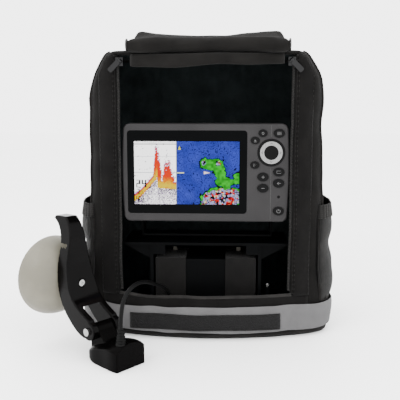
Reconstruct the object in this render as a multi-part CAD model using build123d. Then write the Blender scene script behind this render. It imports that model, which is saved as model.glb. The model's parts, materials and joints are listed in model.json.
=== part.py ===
"""Portable fish finder: a backpack-style soft case, a chartplotter head unit on its gimbal and
battery tray inside it, and a sonar transducer on a suction-cup bracket standing in front.

Millimetres. The origin is the centre of the case's base, +Z up, the open door faces -Y.
"""
from build123d import *
import math
import os

os.makedirs("parts", exist_ok=True)

# ---------------------------------------------------------------- driving dimensions
# soft case
panel_width = 25.0         # front side panels, from the opening to their outer seam
corner_width = 34.0        # from that seam to the side, at the reinforced base
waist_taper = 7.5          # narrower at mid height
top_taper = 11.0           # and under the shoulders
case_front = 103.0         # the bowed front's furthest point from the origin
case_corner = 62.0         # where the bowed front meets the sides
case_back = 112.0
case_height = 418.0
case_wall = 5.0            # padded fabric
shoulder_drop = 50.0       # the sloping shoulder: its height
shoulder_run = 26.0        # and its width
shoulder_low_radius = 50.0
shoulder_top_radius = 12.0
base_height = 48.0         # the wide, reinforced part
taper_height = 62.0        # from the wide base to the waist
front_corner_radius = 44.0
back_corner_radius = 40.0

# door opening
head_clearance = 0.5       # between the head unit and each zip as the unit tilts
opening_bottom = 64.0
header_height = 5.0         # the strip of case left above the opening
opening_radius = 4.0

# base band and hook strip
band_bottom = 11.0
band_top = 51.0
band_thickness = 1.4
strip_half = 109.0
strip_bottom = 16.0
strip_height = 24.0
strip_thickness = 1.8

# rolled-up door
roll_margin = 15.0         # the roll is narrower than the opening
fold_margin = 19.5         # and the fold narrower again, clear of the lifted tabs
roll_gap = 0.3             # between the roll and the cloth under it
roll_front = 112.0
roll_back = 30.0
roll_front_radius = 7.5
roll_rear_radius = 15.5
fold_height = 18.0
fold_thickness = 15.0

# zips
zip_width = 5.0
zip_inset = 3.0            # how far the zip's back lies behind the panel's face
zip_thickness = 2.4
zip_bottom = 70.0
zip_top_gap = 4.5
slider_width = 10.5
slider_height = 12.0
slider_plate = 1.6
slider_gap = 0.9
slider_margin = 0.4
back_plate_inset = 1.5
tab_pin_inset = 1.0        # the pin, in from the slider's middle
tab_pin_rise = 2.0         # and above it
tab_eye_wall = 1.2
tab_eye_gap = 0.3
slider_drop = 11.0         # from the opening's top to the slider's centre with the door open
tab_length = 20.0
tab_width = 7.5
tab_thickness = 1.6
tab_slant = 45.0
tab_pin_radius = 0.9
tab_clearance = 0.08

# side pockets
pocket_front = 44.0
pocket_back = 62.0
pocket_bottom = 54.0
pocket_top = 197.0
pocket_depth = 12.0
pocket_wall = 1.5
elastic_height = 21.0
elastic_thickness = 1.4

# straps on the back and on top
strap_centre = 62.0
strap_width = 62.0
strap_thickness = 10.0
strap_drop = 28.0          # from the case's top to the straps' upper ends
strap_bottom = 80.0
strap_bow = 36.0
handle_half = 48.0
handle_rise = 24.0
handle_width = 25.0
handle_thickness = 3.5
handle_y = 66.0

# tray that carries everything inside the case
tray_side_gap = 4.0        # so that the tray goes in through the opening
tray_front_gap = 29.0      # room for the cable behind the lip
tray_back_gap = 7.0        # to the case's inner back
tray_floor = 4.0
tray_lift = 0.3            # under the feet, on the case's floor
tray_foot_height = 9.0
tray_foot_width = 12.0
tray_foot_inset = 18.0     # outer feet, from the tray's side edge
tray_foot_half_gap = 38.0  # inner feet, from the middle
tray_foot_setback = 4.0
battery_headroom = 21.7
deck_thickness = 4.0
deck_front = 66.0
deck_back = 22.0
tower_thickness = 5.0
gusset_drop = 22.0
gusset_setback = 6.0
brow_width = 18.0
brow_height = 14.0
post_offset = 10.0         # hold-down post, from the tower
post_setback = 14.0        # from the deck's front
post_height = 49.7
post_radius = 4.5
nut_thread_radius = 2.4
nut_thread_height = 6.0
nut_body_radius = 4.0
nut_body_height = 3.0
nut_body_lift = 1.6

# battery: 12 V, 9 Ah sealed lead-acid
battery_length = 151.0
battery_depth = 65.0
battery_height = 94.0
battery_setback = 4.0      # behind the deck's front edge
battery_slack = 3.0
battery_corner_radius = 3.0
terminal_size = 6.3
terminal_thickness = 0.8
terminal_height = 7.0
terminal_x = 50.0
terminal_inset = 14.0      # from the battery's back
terminal_notch_side = 7.0  # strap cut away around the blades
terminal_notch = 4.0
battery_strap_width = 46.0
battery_strap_thickness = 1.6
battery_strap_gap = 0.3

# head unit
bezel_half = 121.5         # at mid height
bezel_bow = 3.0            # how far its top and bottom corners draw in
bezel_end_half = bezel_half - bezel_bow
bezel_height = 143.0
bezel_depth = 21.4
bezel_front = 78.4
bezel_wall = 3.0
bezel_face = 4.0
bezel_radius = 10.0
head_gap = 34.5            # from the deck to the bezel's lower edge
bezel_edge_radius = 2.6
glass_left_margin = 8.2    # from the bezel's widest point to the glass
glass_right_margin = 61.3  # room for the keys
glass_end_margin = 22.3    # bezel above and below the glass, together
glass_lift = 1.0           # the glass sits a little above the middle
glass_radius = 5.0
glass_clearance = 0.15
glass_thickness = 3.8
lcd_thickness = 6.4
lcd_margin = 1.5
case_half = 95.0
case_inset = 14.5          # rear case, in from the bezel's top and bottom
case_side_radius = 12.0
case_rear_radius = 6.0
boss_radius = 11.0
boss_bore_radius = 7.5
boss_length = 13.7
boss_gap = 0.3             # between the boss and the gimbal arm
socket_radius = 9.0
socket_wall = 2.2
socket_depth = 8.0
socket_proud = 4.0
socket_floor = 5.0         # depth of the bore from the rear face
socket_drop = 22.0
socket_x = (-36.0, 0.0)
screw_inset_x = 13.5
screw_inset_z = 11.5
screw_radius = 3.4
screw_height = 2.2
case_depth = 48.0
case_shell = 3.0
flange_thickness = 3.0
gasket_thickness = 1.4
board_thickness = 1.6
board_gap = 4.5            # from the bezel's rear face to the board
board_inset = 4.0
flange_inset = 0.2
gasket_width = 1.4

# keys
key_face_proud = 1.8
key_length = 9.0
key_clearance = 0.25
small_key = (6.4, 5.2)     # half width, half height
oval_key = (8.0, 6.2)
design_height = 143.0      # the controls are drawn for this bezel height and scale with it
pad_trim_radius = 19.9
pad_ring_outer = 16.1
pad_ring_inner = 10.4
pad_clearance = 0.7
pad_thickness = 6.0
pad_pivot_depth = 4.0      # the ball the pad rocks on, behind its back
pad_ball_radius = 2.4
pad_post_radius = 1.6
pad_hub_radius = 4.0
pad_ball_gap = 0.15
pad_proud = 2.6
pad_dish = 1.0             # the centre lies below the ring
pad_trim_proud = 0.8
spider_gap = 0.8
spider_thickness = 1.2
spider_outer = 9.0
spider_inner = 5.0
sensor_radius = 2.2
sensor_recess = 0.4

# gimbal bracket
pivot_y = -30.0
arm_half = 99.0            # inner faces of the arms
arm_thickness = 3.0
arm_top_radius = 12.0
arm_foot_half = 15.0
foot_thickness = 3.0
knob_shaft_radius = 4.0
knob_clearance = 0.05
knob_radius = 14.0
knob_height = 13.0
knob_lobes = 7
knob_gap = 0.4
shaft_engagement = 8.0

# transducer stand, in its own frame: +X towards the suction cup, +Z up
stand_inset = 94.0         # in from the case's left edge
stand_front = 209.0        # in front of the case's middle
stand_heading = (-0.773, 0.634, 0.0)
transducer_width = 49.0
transducer_length = 68.0
transducer_side = 26.0
transducer_crown = 35.0
pivot_x = 58.0
pivot_z = 42.5
knuckle_radius = 9.0
fork_gap_half = 14.5
knuckle_clearance = 0.3
bracket_half = 24.5
bolt_radius = 3.0
bolt_clearance = 0.05
bolt_head_radius = 5.2
bolt_head_height = 3.2
bolt_proud = 3.0           # thread showing past the nut
nut_flat = 10.0
nut_height = 5.0
cup_radius = 57.5
cup_height = 97.0
cup_depth = 44.0
cup_start = 126.0
stem_radius = 12.0
screw_head_radius = 4.6

# cable
cable_diameter = 5.6
boot_x = 9.0
boot_y = 9.0
boot_bottom = 30.0
boot_top = 53.0
boot_base_radius = 7.2
boot_tip_radius = 4.4
coil_x = -46.0
coil_gap = 6.0             # behind the battery
boot_rise = 26.0           # the cable leaves the boot straight up
lane_gap = 24.5            # cable lane on the tray, from the tower
lane_lift = 0.7
lip_lift = 12.0            # the cable's middle above the lip as it crosses
coil_back_gap = 2.0        # to the case's inner back
coil_columns = 5
coil_layers = 5
plug_radius = 8.0
plug_length = 40.0

far = 600.0                # larger than anything here, for cutting tools

# ---------------------------------------------------------------- helpers


def save(node, *solids):
    """Write one node as a STEP file of one or more separate solids."""
    pieces = []
    for shape in solids:
        pieces += list(shape.solids())
    export_step(pieces[0] if len(pieces) == 1 else Compound(children=pieces), f"parts/{node}.step")


def slab(x, y, z):
    """A box from three (low, high) pairs."""
    sizes = [high - low for low, high in (x, y, z)]
    middle = [(high + low) / 2 for low, high in (x, y, z)]
    return Pos(*middle) * Box(*sizes)


def extrude_y(face, y_low, y_high):
    """Extrude a face drawn as (x, z) from y_low to y_high."""
    plane = Plane(origin=(0, y_low, 0), x_dir=(1, 0, 0), z_dir=(0, -1, 0))
    return extrude(plane * face, -(y_high - y_low))


def extrude_x(face, x_low, x_high):
    """Extrude a face drawn as (y, z) from x_low to x_high."""
    plane = Plane(origin=(x_low, 0, 0), x_dir=(0, 1, 0), z_dir=(1, 0, 0))
    return extrude(plane * face, x_high - x_low)


def rounded(width, height, radius, x=0.0, z=0.0):
    return Pos(x, z) * RectangleRounded(width, height, radius)


def mirror_x(shape):
    return mirror(shape, about=Plane.YZ)


# ---------------------------------------------------------------- soft case

opening_half = bezel_half + head_clearance + zip_width
panel_outer = opening_half + panel_width
base_half = panel_outer + corner_width
stand_origin = (stand_inset - base_half, -stand_front, 0.0)
waist_half = base_half - waist_taper
top_half = base_half - top_taper
front_sag = case_front - case_corner
shoulder_lean = math.atan(shoulder_run / shoulder_drop)


def front_radius(grow):
    return ((base_half + grow) ** 2 + front_sag ** 2) / (2 * front_sag)


def front_y(x):
    """The bowed front's outer surface at x."""
    radius = front_radius(0)
    return -case_front + radius - math.sqrt(radius ** 2 - x ** 2)


def case_solid(grow):
    """The case's outer form, grown outwards by a distance on every side."""
    half = base_half + grow
    front = -(case_front + grow)
    corner = -(case_corner + grow)
    back = case_back + grow
    outline = Curve() + [
        ThreePointArc((-half, corner), (0, front), (half, corner)),
        Line((half, corner), (half, back)),
        Line((half, back), (-half, back)),
        Line((-half, back), (-half, corner)),
    ]
    plan = make_face(outline)
    plan = fillet(plan.vertices().group_by(Axis.Y)[0], front_corner_radius + grow)
    plan = fillet(plan.vertices().group_by(Axis.Y)[-1], back_corner_radius + grow)
    block = Pos(0, 0, -grow) * extrude(plan, case_height + 2 * grow)
    right = [
        (half, -grow),
        (half, base_height),
        (waist_half + grow, base_height + taper_height),
        (top_half + grow, case_height - shoulder_drop + grow * math.tan(shoulder_lean / 2)),
        (top_half - shoulder_run + grow * math.tan((math.pi / 2 - shoulder_lean) / 2), case_height + grow),
    ]
    left = [(-x, z) for x, z in reversed(right)]
    profile = make_face(Polyline(*right, *left, close=True))
    profile = fillet(profile.vertices().group_by(Axis.Y)[-1], shoulder_top_radius + grow)
    slope_ends = [v for v in profile.vertices() if abs(v.Y - right[3][1]) < 0.01]
    profile = fillet(slope_ends, shoulder_low_radius + grow)
    return block & extrude_y(profile, -far, far)


case_outer = case_solid(0)
case_inner = case_solid(-case_wall)
opening_top = case_height - header_height
opening_height = opening_top - opening_bottom
opening_middle = (opening_top + opening_bottom) / 2
opening_cut = extrude_y(rounded(2 * opening_half, opening_height, opening_radius, 0, opening_middle),
                        -far, -case_corner + case_wall)
case_shell_solid = case_outer - case_inner - opening_cut

front_zone = (-far, -case_corner + case_wall)
panel_inner = opening_half - opening_radius - 1
right_panel_zone = slab((panel_inner, panel_outer), front_zone, (opening_bottom, opening_top))
lip_zone = slab((-panel_outer, panel_outer), front_zone, (case_wall, opening_bottom))
base_zone = slab((-far, far), (-far, far), (-1, case_wall))

front_panel_right = case_shell_solid & right_panel_zone
front_panel_left = mirror_x(front_panel_right)
front_lip = case_shell_solid & lip_zone
base_panel = case_shell_solid & base_zone
case_body = case_shell_solid - right_panel_zone - mirror_x(right_panel_zone) - lip_zone - base_zone
save("case_body", case_body)
save("front_panel_left", front_panel_left)
save("front_panel_right", front_panel_right)
save("front_lip", front_lip)
save("base_panel", base_panel)

band_outer = case_solid(band_thickness)
base_band = (band_outer - case_outer) & slab((-far, far), (-far, far), (band_bottom, band_top))
save("base_band", base_band)
strip_zone = slab((-strip_half, strip_half), (-far, 0), (strip_bottom, strip_bottom + strip_height))
save("hook_strip", (case_solid(band_thickness + strip_thickness) - band_outer) & strip_zone)

# the door, rolled up above the opening: a fold in front of the header and the roll on top
roll_half = opening_half - roll_margin
fold_half = opening_half - fold_margin
roll_low = case_height + roll_gap
roll_face = make_hull(
    (Pos(roll_front_radius - roll_front, roll_low + roll_front_radius) * Circle(roll_front_radius)).edges()
    + (Pos(-roll_back - roll_rear_radius, roll_low + roll_rear_radius) * Circle(roll_rear_radius)).edges())
roll_front_fold = (case_solid(fold_thickness) - case_solid(roll_gap)) & slab(
    (-fold_half, fold_half), (-far, -case_corner), (case_height - fold_height, case_height - 1))
save("rolled_door", extrude_x(roll_face, -roll_half, roll_half), roll_front_fold)

slider_rest = opening_top - slider_drop

# zips down both sides of the opening, their sliders and pull tabs
zip_back = front_y(opening_half) + zip_inset
zip_front = zip_back - zip_thickness
zip_x = (opening_half - zip_width, opening_half)
zip_right = slab(zip_x, (zip_front, zip_back), (zip_bottom, opening_top - zip_top_gap))
save("zip_right", zip_right)
save("zip_left", mirror_x(zip_right))

slider_x = (opening_half - slider_margin - slider_width, opening_half - slider_margin)
slider_z = (slider_rest - slider_height / 2, slider_rest + slider_height / 2)
plate_front = zip_front - slider_gap - slider_plate
slider_front_plate = slab(slider_x, (plate_front, plate_front + slider_plate), slider_z)
plate_back = zip_back + slider_gap
slider_back_plate = slab((slider_x[0], slider_x[1] - back_plate_inset), (plate_back, plate_back + slider_plate), slider_z)
slider_post = slab((slider_x[0], opening_half - zip_width - slider_margin), (plate_front, plate_back + slider_plate),
                   slider_z)
slant = math.radians(tab_slant)
tab_down = Vector(math.sin(slant), 0, -math.cos(slant))
tab_axis = Vector(tab_down.Z, 0, -tab_down.X)
eye_radius = tab_pin_radius + tab_clearance + tab_eye_wall
tab_y = plate_front - eye_radius - tab_eye_gap
tab_pivot = Vector((slider_x[0] + slider_x[1]) / 2 - tab_pin_inset, tab_y, slider_rest + tab_pin_rise)


def along_pin(radius, length, offset=0.0):
    """A cylinder on the pull tab's pin axis."""
    plane = Plane(origin=tab_pivot + tab_axis * offset, z_dir=tab_axis)
    return plane * Cylinder(radius, length)


lug_offset = 3.1
lug_width = 1.6
pin = along_pin(tab_pin_radius, 2 * lug_offset + lug_width)
lugs = []
for side in (-1, 1):
    lug = along_pin(eye_radius - 0.4, lug_width, side * lug_offset)
    centre = tab_pivot + tab_axis * (side * lug_offset)
    foot_plane = Plane(origin=(centre.X, (tab_y + plate_front) / 2 + 0.2, centre.Z), x_dir=tab_axis,
                       z_dir=(0, 1, 0))
    foot = foot_plane * Box(lug_width, 2.6, plate_front - tab_y + 0.4)
    lugs += [lug, foot]
slider_right = slider_front_plate + slider_back_plate + slider_post + pin + lugs
eye = along_pin(eye_radius, 2 * lug_offset - lug_width - 0.4) - along_pin(
    tab_pin_radius + tab_clearance, 3 * lug_offset)
tab_middle = tab_pivot + tab_down * (tab_length / 2 + eye_radius - 0.5)
tab_plane = Plane(origin=tab_middle, x_dir=tab_down, z_dir=(0, -1, 0))
tab_plate = tab_plane * (Pos(0, 0, -tab_thickness / 2) * extrude(
    RectangleRounded(tab_length, tab_width, 2.4), tab_thickness))
neck_plane = Plane(origin=tab_pivot + tab_down * (eye_radius + 1), x_dir=tab_down, z_dir=(0, -1, 0))
tab_neck = neck_plane * Box(2 * eye_radius, 2 * lug_offset - lug_width - 0.8, tab_thickness)
tab_bore = along_pin(tab_pin_radius + tab_clearance, 3 * lug_offset)
tab_clear = [along_pin(eye_radius + 0.2, lug_width + 1.2, side * (lug_offset + 0.3)) for side in (-1, 1)]
pull_tab_right = eye + ((tab_plate + tab_neck) - tab_bore - tab_clear)
save("zip_slider_right", slider_right)
save("zip_slider_left", mirror_x(slider_right))
save("pull_tab_right", pull_tab_right)
save("pull_tab_left", mirror_x(pull_tab_right))

# mesh side pockets with elastic tops
pocket_outer = case_solid(pocket_depth)
pocket_zone = slab((waist_half - 20, far), (-pocket_front, pocket_back), (pocket_bottom, pocket_top))
pocket_room = case_solid(pocket_depth - pocket_wall) & slab(
    (0, far), (-pocket_front + pocket_wall, pocket_back - pocket_wall), (pocket_bottom + pocket_wall, far))
pocket_right = (pocket_outer & pocket_zone) - pocket_room - case_outer
save("side_pocket_right", pocket_right)
save("side_pocket_left", mirror_x(pocket_right))
elastic_zone = slab((waist_half - 20, far), (-pocket_front, pocket_back), (pocket_top - elastic_height, pocket_top))
elastic = (case_solid(pocket_depth + elastic_thickness) - pocket_outer) & elastic_zone
save("pocket_elastics", elastic, mirror_x(elastic))

# shoulder straps on the back, grab handle on top
strap_top = case_height - strap_drop
strap_middle_z = (strap_top + strap_bottom) / 2
strap_outer_arc = ThreePointArc((case_back, strap_top), (case_back + strap_bow, strap_middle_z),
                                (case_back, strap_bottom))
inner_top = strap_top - 1.4 * strap_thickness
inner_bottom = strap_bottom + 1.4 * strap_thickness
strap_inner_arc = ThreePointArc((case_back, inner_bottom),
                                (case_back + strap_bow - strap_thickness, strap_middle_z),
                                (case_back, inner_top))
strap_face = make_face(Curve() + [
    strap_outer_arc,
    Line((case_back, strap_bottom), (case_back, inner_bottom)),
    strap_inner_arc,
    Line((case_back, inner_top), (case_back, strap_top)),
])
strap_right = extrude_x(strap_face, strap_centre - strap_width / 2, strap_centre + strap_width / 2)
save("shoulder_strap_right", strap_right)
save("shoulder_strap_left", mirror_x(strap_right))

handle_arc = ThreePointArc((-handle_half, case_height), (0, case_height + handle_rise), (handle_half, case_height))
inner_half = handle_half - 1.6 * handle_thickness
handle_inner_arc = ThreePointArc((inner_half, case_height),
                                 (0, case_height + handle_rise - handle_thickness),
                                 (-inner_half, case_height))
handle_face = make_face(Curve() + [
    handle_arc,
    Line((handle_half, case_height), (inner_half, case_height)),
    handle_inner_arc,
    Line((-inner_half, case_height), (-handle_half, case_height)),
])
save("grab_handle", extrude_y(handle_face, handle_y - handle_width / 2, handle_y + handle_width / 2))

# ---------------------------------------------------------------- tray and battery

tray_half = opening_half - tray_side_gap
tray_front = case_front - tray_front_gap
tray_back = case_back - case_wall - tray_back_gap
foot_low = case_wall + tray_lift
floor_low = foot_low + tray_foot_height
floor_top = floor_low + tray_floor
deck_bottom = floor_top + battery_height + battery_headroom
battery_front = deck_front - battery_setback
tray_plate = slab((-tray_half, tray_half), (-tray_front, tray_back), (floor_low, floor_top))
tray_feet = []
foot_outer = tray_half - tray_foot_inset
for x in (-foot_outer, -tray_foot_half_gap, tray_foot_half_gap, foot_outer):
    tray_feet.append(slab((x - tray_foot_width / 2, x + tray_foot_width / 2),
                          (-tray_front + tray_foot_setback, tray_back - tray_foot_setback), (foot_low, floor_low)))
deck_top = deck_bottom + deck_thickness
deck = slab((-tray_half, tray_half), (-deck_front, deck_back), (deck_bottom, deck_top))
bay_half = battery_length / 2 + battery_slack
tower_y = (-deck_front + battery_setback / 2, battery_depth - battery_front)
tower_right = slab((bay_half, bay_half + tower_thickness), tower_y, (floor_top, deck_bottom))
gusset_inner = bay_half + tower_thickness
gusset_face = make_face(Polyline((gusset_inner, deck_bottom), (tray_half, deck_bottom),
                                 (gusset_inner, deck_bottom - gusset_drop), close=True))
gusset_right = extrude_y(gusset_face, -deck_front + gusset_setback, -deck_front + gusset_setback + tray_floor)
post_place = Pos(gusset_inner + post_offset, -deck_front + post_setback, floor_top)
screw_post = post_place * Pos(0, 0, post_height / 2) * Cylinder(post_radius, post_height)
brow_right = slab((bay_half - brow_width, bay_half), (-deck_front, -deck_front + tray_floor),
                  (deck_bottom - brow_height, deck_bottom))
tray = tray_plate + deck + tower_right + mirror_x(tower_right) + gusset_right + mirror_x(gusset_right)
tray = tray + tray_feet + screw_post + brow_right + mirror_x(brow_right)
save("tray", tray)
post_top = post_place * Pos(0, 0, post_height)
hold_down = post_top * Pos(0, 0, nut_thread_height / 2) * Cylinder(nut_thread_radius, nut_thread_height)
hold_down += post_top * Pos(0, 0, nut_body_lift) * extrude(RegularPolygon(nut_body_radius, 6), nut_body_height)
save("hold_down_nut", hold_down)

battery_y = (-battery_front, -battery_front + battery_depth)
battery_z = (floor_top, floor_top + battery_height)
battery = slab((-battery_length / 2, battery_length / 2), battery_y, battery_z)
battery = fillet(battery.edges().filter_by(Axis.Z), battery_corner_radius)
save("battery", battery)
terminals = []
for side in (-1, 1):
    terminals.append(slab((side * terminal_x - terminal_size / 2, side * terminal_x + terminal_size / 2),
                          (battery_y[1] - terminal_inset, battery_y[1] - terminal_inset + terminal_thickness),
                          (battery_z[1], battery_z[1] + terminal_height)))
save("battery_terminals", *terminals)

notch_half = terminal_x + terminal_notch_side
notch_y = (battery_y[1] - terminal_inset - terminal_notch, battery_y[1] - terminal_inset + terminal_notch + 1)
straps = []
for side in (-1, 1):
    middle = side * (battery_length / 2 - battery_strap_width / 2)
    x = (middle - battery_strap_width / 2, middle + battery_strap_width / 2)
    reach = battery_strap_gap + battery_strap_thickness
    outer = slab(x, (battery_y[0] - reach, battery_y[1] + reach), (floor_top, battery_z[1] + reach))
    inner = slab((-far, far), (battery_y[0] - battery_strap_gap, battery_y[1] + battery_strap_gap),
                 (0, battery_z[1] + battery_strap_gap))
    terminal_gap = slab((-notch_half, notch_half), notch_y, (battery_z[1] - 1, far))
    straps.append(outer - inner - terminal_gap)
save("battery_straps", *straps)

# ---------------------------------------------------------------- gimbal bracket

head_low = deck_top + head_gap
head_centre_z = head_low + bezel_height / 2
arm_outer = arm_half + arm_thickness
arm_profile = make_hull(
    (Pos(pivot_y, head_centre_z) * Circle(arm_top_radius)).edges()
    + (Pos(0, deck_top + foot_thickness / 2) * Rectangle(2 * arm_foot_half, foot_thickness)).edges())
arm_right = extrude_x(arm_profile, arm_half, arm_outer)
bracket_foot = slab((-arm_outer, arm_outer), (-arm_foot_half, arm_foot_half), (deck_top, deck_top + foot_thickness))
pivot_line = Pos(0, pivot_y, head_centre_z) * Rot(0, 90, 0)
arm_hole = pivot_line * Cylinder(knob_shaft_radius + knob_clearance, 2 * far)
save("gimbal_bracket", bracket_foot + arm_right + mirror_x(arm_right) - arm_hole)

# ---------------------------------------------------------------- head unit


def bezel_outline(inset):
    half = bezel_half - inset
    end = bezel_end_half - inset
    low = head_centre_z - bezel_height / 2 + inset
    high = head_centre_z + bezel_height / 2 - inset
    outline = make_face(Curve() + [
        ThreePointArc((end, low), (half, head_centre_z), (end, high)),
        Line((end, high), (-end, high)),
        ThreePointArc((-end, high), (-half, head_centre_z), (-end, low)),
        Line((-end, low), (end, low)),
    ])
    return fillet(outline.vertices(), bezel_radius - inset / 2)


scale = bezel_height / design_height


def on_panel(from_edge, above_middle):
    """A place on the control panel: distance in from the bezel's right side, height above its middle."""
    return bezel_half - from_edge * scale, head_centre_z + above_middle * scale


# keys: name -> (distance from the right side, height above the middle, half sizes)
keys = {
    "key_view": (38.9, 57.6, small_key),
    "key_info": (49.9, 47.4, small_key),
    "key_mark": (49.9, 11.9, small_key),
    "key_menu": (15.8, 57.6, oval_key),
    "key_zoom_in": (38.0, -5.3, oval_key),
    "key_zoom_out": (38.0, -21.6, oval_key),
    "key_page": (15.4, 2.0, oval_key),
    "key_exit": (15.4, -14.3, oval_key),
    "key_power": (15.1, -54.9, oval_key),
}
sensor_x, sensor_z = on_panel(15.1, -34.2)
pad_x, pad_z = on_panel(26.7, 30.0)
trim_radius = pad_trim_radius * scale
ring_outer = pad_ring_outer * scale
ring_inner = pad_ring_inner * scale


def key_face(name, grow=0.0):
    from_edge, above_middle, (half_width, half_height) = keys[name]
    x, z = on_panel(from_edge, above_middle)
    return Pos(x, z) * Ellipse(half_width * scale + grow, half_height * scale + grow)


bezel_rear = -bezel_front + bezel_depth
face_rear = -bezel_front + bezel_face
bezel = extrude_y(bezel_outline(0), -bezel_front, bezel_rear)
front_edges = bezel.edges().filter_by_position(Axis.Y, -bezel_front - 0.01, -bezel_front + 0.01)
bezel = fillet(front_edges, bezel_edge_radius)
bezel = bezel - extrude_y(bezel_outline(bezel_wall), face_rear, bezel_rear + 1)
glass_left = -bezel_half + glass_left_margin
glass_right = bezel_half - glass_right_margin * scale
glass_width = glass_right - glass_left
glass_height = bezel_height - glass_end_margin
glass_x = (glass_right + glass_left) / 2
glass_z = head_centre_z + glass_lift
window = extrude_y(rounded(glass_width + 2 * glass_clearance, glass_height + 2 * glass_clearance, glass_radius,
                           glass_x, glass_z), -far, face_rear + 0.1)
bezel = bezel - window
for name in keys:
    bezel = bezel - extrude_y(key_face(name, key_clearance), -far, face_rear + 0.1)
bezel = bezel - extrude_y(Pos(pad_x, pad_z) * Circle(trim_radius), -far, face_rear + 0.1)
bezel = bezel - extrude_y(Pos(sensor_x, sensor_z) * Circle(sensor_radius), -far, face_rear + 0.1)
save("front_bezel", bezel)

trim_face = Pos(pad_x, pad_z) * (Circle(trim_radius) - Circle(ring_outer + pad_clearance))
save("pad_trim", extrude_y(trim_face, -bezel_front - pad_trim_proud, face_rear))
glass_front = face_rear - glass_thickness
glass = extrude_y(rounded(glass_width, glass_height, glass_radius, glass_x, glass_z), glass_front, face_rear)
save("screen_glass", glass)
lcd = slab((glass_left - lcd_margin, glass_right + lcd_margin), (face_rear, face_rear + lcd_thickness),
           (glass_z - glass_height / 2 - lcd_margin, glass_z + glass_height / 2 + lcd_margin))
save("lcd_panel", lcd)
sensor = extrude_y(Pos(sensor_x, sensor_z) * Circle(sensor_radius), -bezel_front + sensor_recess, face_rear)
save("light_sensor", sensor)

for name in keys:
    key_rear = -bezel_front - key_face_proud + key_length
    cap = extrude_y(key_face(name), -bezel_front - key_face_proud, key_rear)
    save(name, cap)

pad_front = -bezel_front - pad_proud
pad_rear = pad_front + pad_thickness
ring_face = Pos(pad_x, pad_z) * (Circle(ring_outer) - Circle(ring_inner))
save("pad_ring", extrude_y(ring_face, pad_front, pad_rear))
pad_pivot_y = pad_rear + pad_pivot_depth
pad_pivot = Pos(pad_x, pad_pivot_y, pad_z)
pad_post = extrude_y(Pos(pad_x, pad_z) * Circle(pad_post_radius), pad_rear - 1, pad_pivot_y)
pad_cap = extrude_y(Pos(pad_x, pad_z) * Circle(ring_inner), pad_front + pad_dish, pad_rear)
save("pad_centre", pad_cap + pad_post + pad_pivot * Sphere(pad_ball_radius))
spider_y = pad_rear + spider_gap
spider_face = Pos(pad_x, pad_z) * (Circle(spider_outer) - Circle(spider_inner))
save("pad_spider", extrude_y(spider_face, spider_y, spider_y + spider_thickness))
board_y = bezel_rear - board_gap
pad_hub = extrude_y(Pos(pad_x, pad_z) * Circle(pad_hub_radius), pad_pivot_y, board_y)
pad_hub = pad_hub - pad_pivot * Sphere(pad_ball_radius + pad_ball_gap)

board = extrude_y(bezel_outline(bezel_wall + board_inset), board_y, board_y + board_thickness)
save("circuit_board", board + pad_hub)

gasket_face = bezel_outline(flange_inset) - bezel_outline(flange_inset + bezel_wall + gasket_width)
save("case_gasket", extrude_y(gasket_face, bezel_rear, bezel_rear + gasket_thickness))
flange_y = bezel_rear + gasket_thickness
rear_y = flange_y + flange_thickness + case_depth
case_drop = bezel_height / 2 - case_inset
case_top = head_centre_z + case_drop
flange = extrude_y(bezel_outline(flange_inset), flange_y, flange_y + flange_thickness)
tub = slab((-case_half, case_half), (flange_y + flange_thickness, rear_y), (head_centre_z - case_drop, case_top))
tub = fillet(tub.edges().filter_by(Axis.Y), case_side_radius)
tub = fillet(tub.edges().group_by(Axis.Y)[-1], case_rear_radius)
hollow = slab((-case_half + case_shell, case_half - case_shell), (flange_y - 1, rear_y - case_shell),
              (head_centre_z - case_drop + case_shell, case_top - case_shell))
hollow = fillet(hollow.edges().filter_by(Axis.Y), case_side_radius - case_shell)
boss_inner = arm_half - boss_gap - boss_length
boss = pivot_line * Cylinder(boss_radius, 2 * (arm_half - boss_gap))
boss_room = pivot_line * Cylinder(boss_bore_radius, 2 * boss_inner)
rear_case = (flange + tub) - hollow
rear_case = rear_case + (boss - pivot_line * Cylinder(boss_radius + 1, 2 * boss_inner))
rear_case = rear_case - pivot_line * Cylinder(knob_shaft_radius + knob_clearance, 2 * arm_half + 2) - boss_room
sockets = []
for x in socket_x:
    socket_place = Pos(x, rear_y, head_centre_z - socket_drop) * Rot(-90, 0, 0)
    opening = socket_place * Pos(0, 0, (socket_proud - socket_depth) / 2) * Cylinder(
        socket_radius, socket_depth + socket_proud)
    bore = socket_place * Pos(0, 0, far / 2 - socket_floor) * Cylinder(socket_radius - socket_wall, far)
    rear_case = rear_case - opening
    sockets.append(opening - bore)
save("rear_case", rear_case)
save("rear_sockets", *sockets)
case_screws = []
screw_x = bezel_half - screw_inset_x
screw_z = bezel_height / 2 - screw_inset_z
for x in (-screw_x, screw_x):
    for z in (head_centre_z - screw_z, head_centre_z + screw_z):
        case_screws.append(Pos(x, flange_y + flange_thickness + screw_height / 2, z) * Rot(90, 0, 0) * Cylinder(
            screw_radius, screw_height))
save("case_screws", *case_screws)

knob_low = arm_outer + knob_gap
knob_disc = Cylinder(knob_radius, knob_height)
for lobe in range(knob_lobes):
    angle = 2 * math.pi * lobe / knob_lobes
    notch = Pos((knob_radius + 2.2) * math.cos(angle), (knob_radius + 2.2) * math.sin(angle), 0) * Cylinder(
        4.2, 2 * knob_height)
    knob_disc = knob_disc - notch
knob_place = Pos(knob_low + knob_height / 2, pivot_y, head_centre_z) * Rot(0, 90, 0)
shaft_low = arm_half - boss_gap - shaft_engagement
shaft = Pos((shaft_low + knob_low) / 2, pivot_y, head_centre_z) * Rot(0, 90, 0) * Cylinder(
    knob_shaft_radius, knob_low - shaft_low + 1)
knob_right = knob_place * knob_disc + shaft
save("tilt_knob_right", knob_right)
save("tilt_knob_left", mirror_x(knob_right))

# ---------------------------------------------------------------- transducer stand

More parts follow.
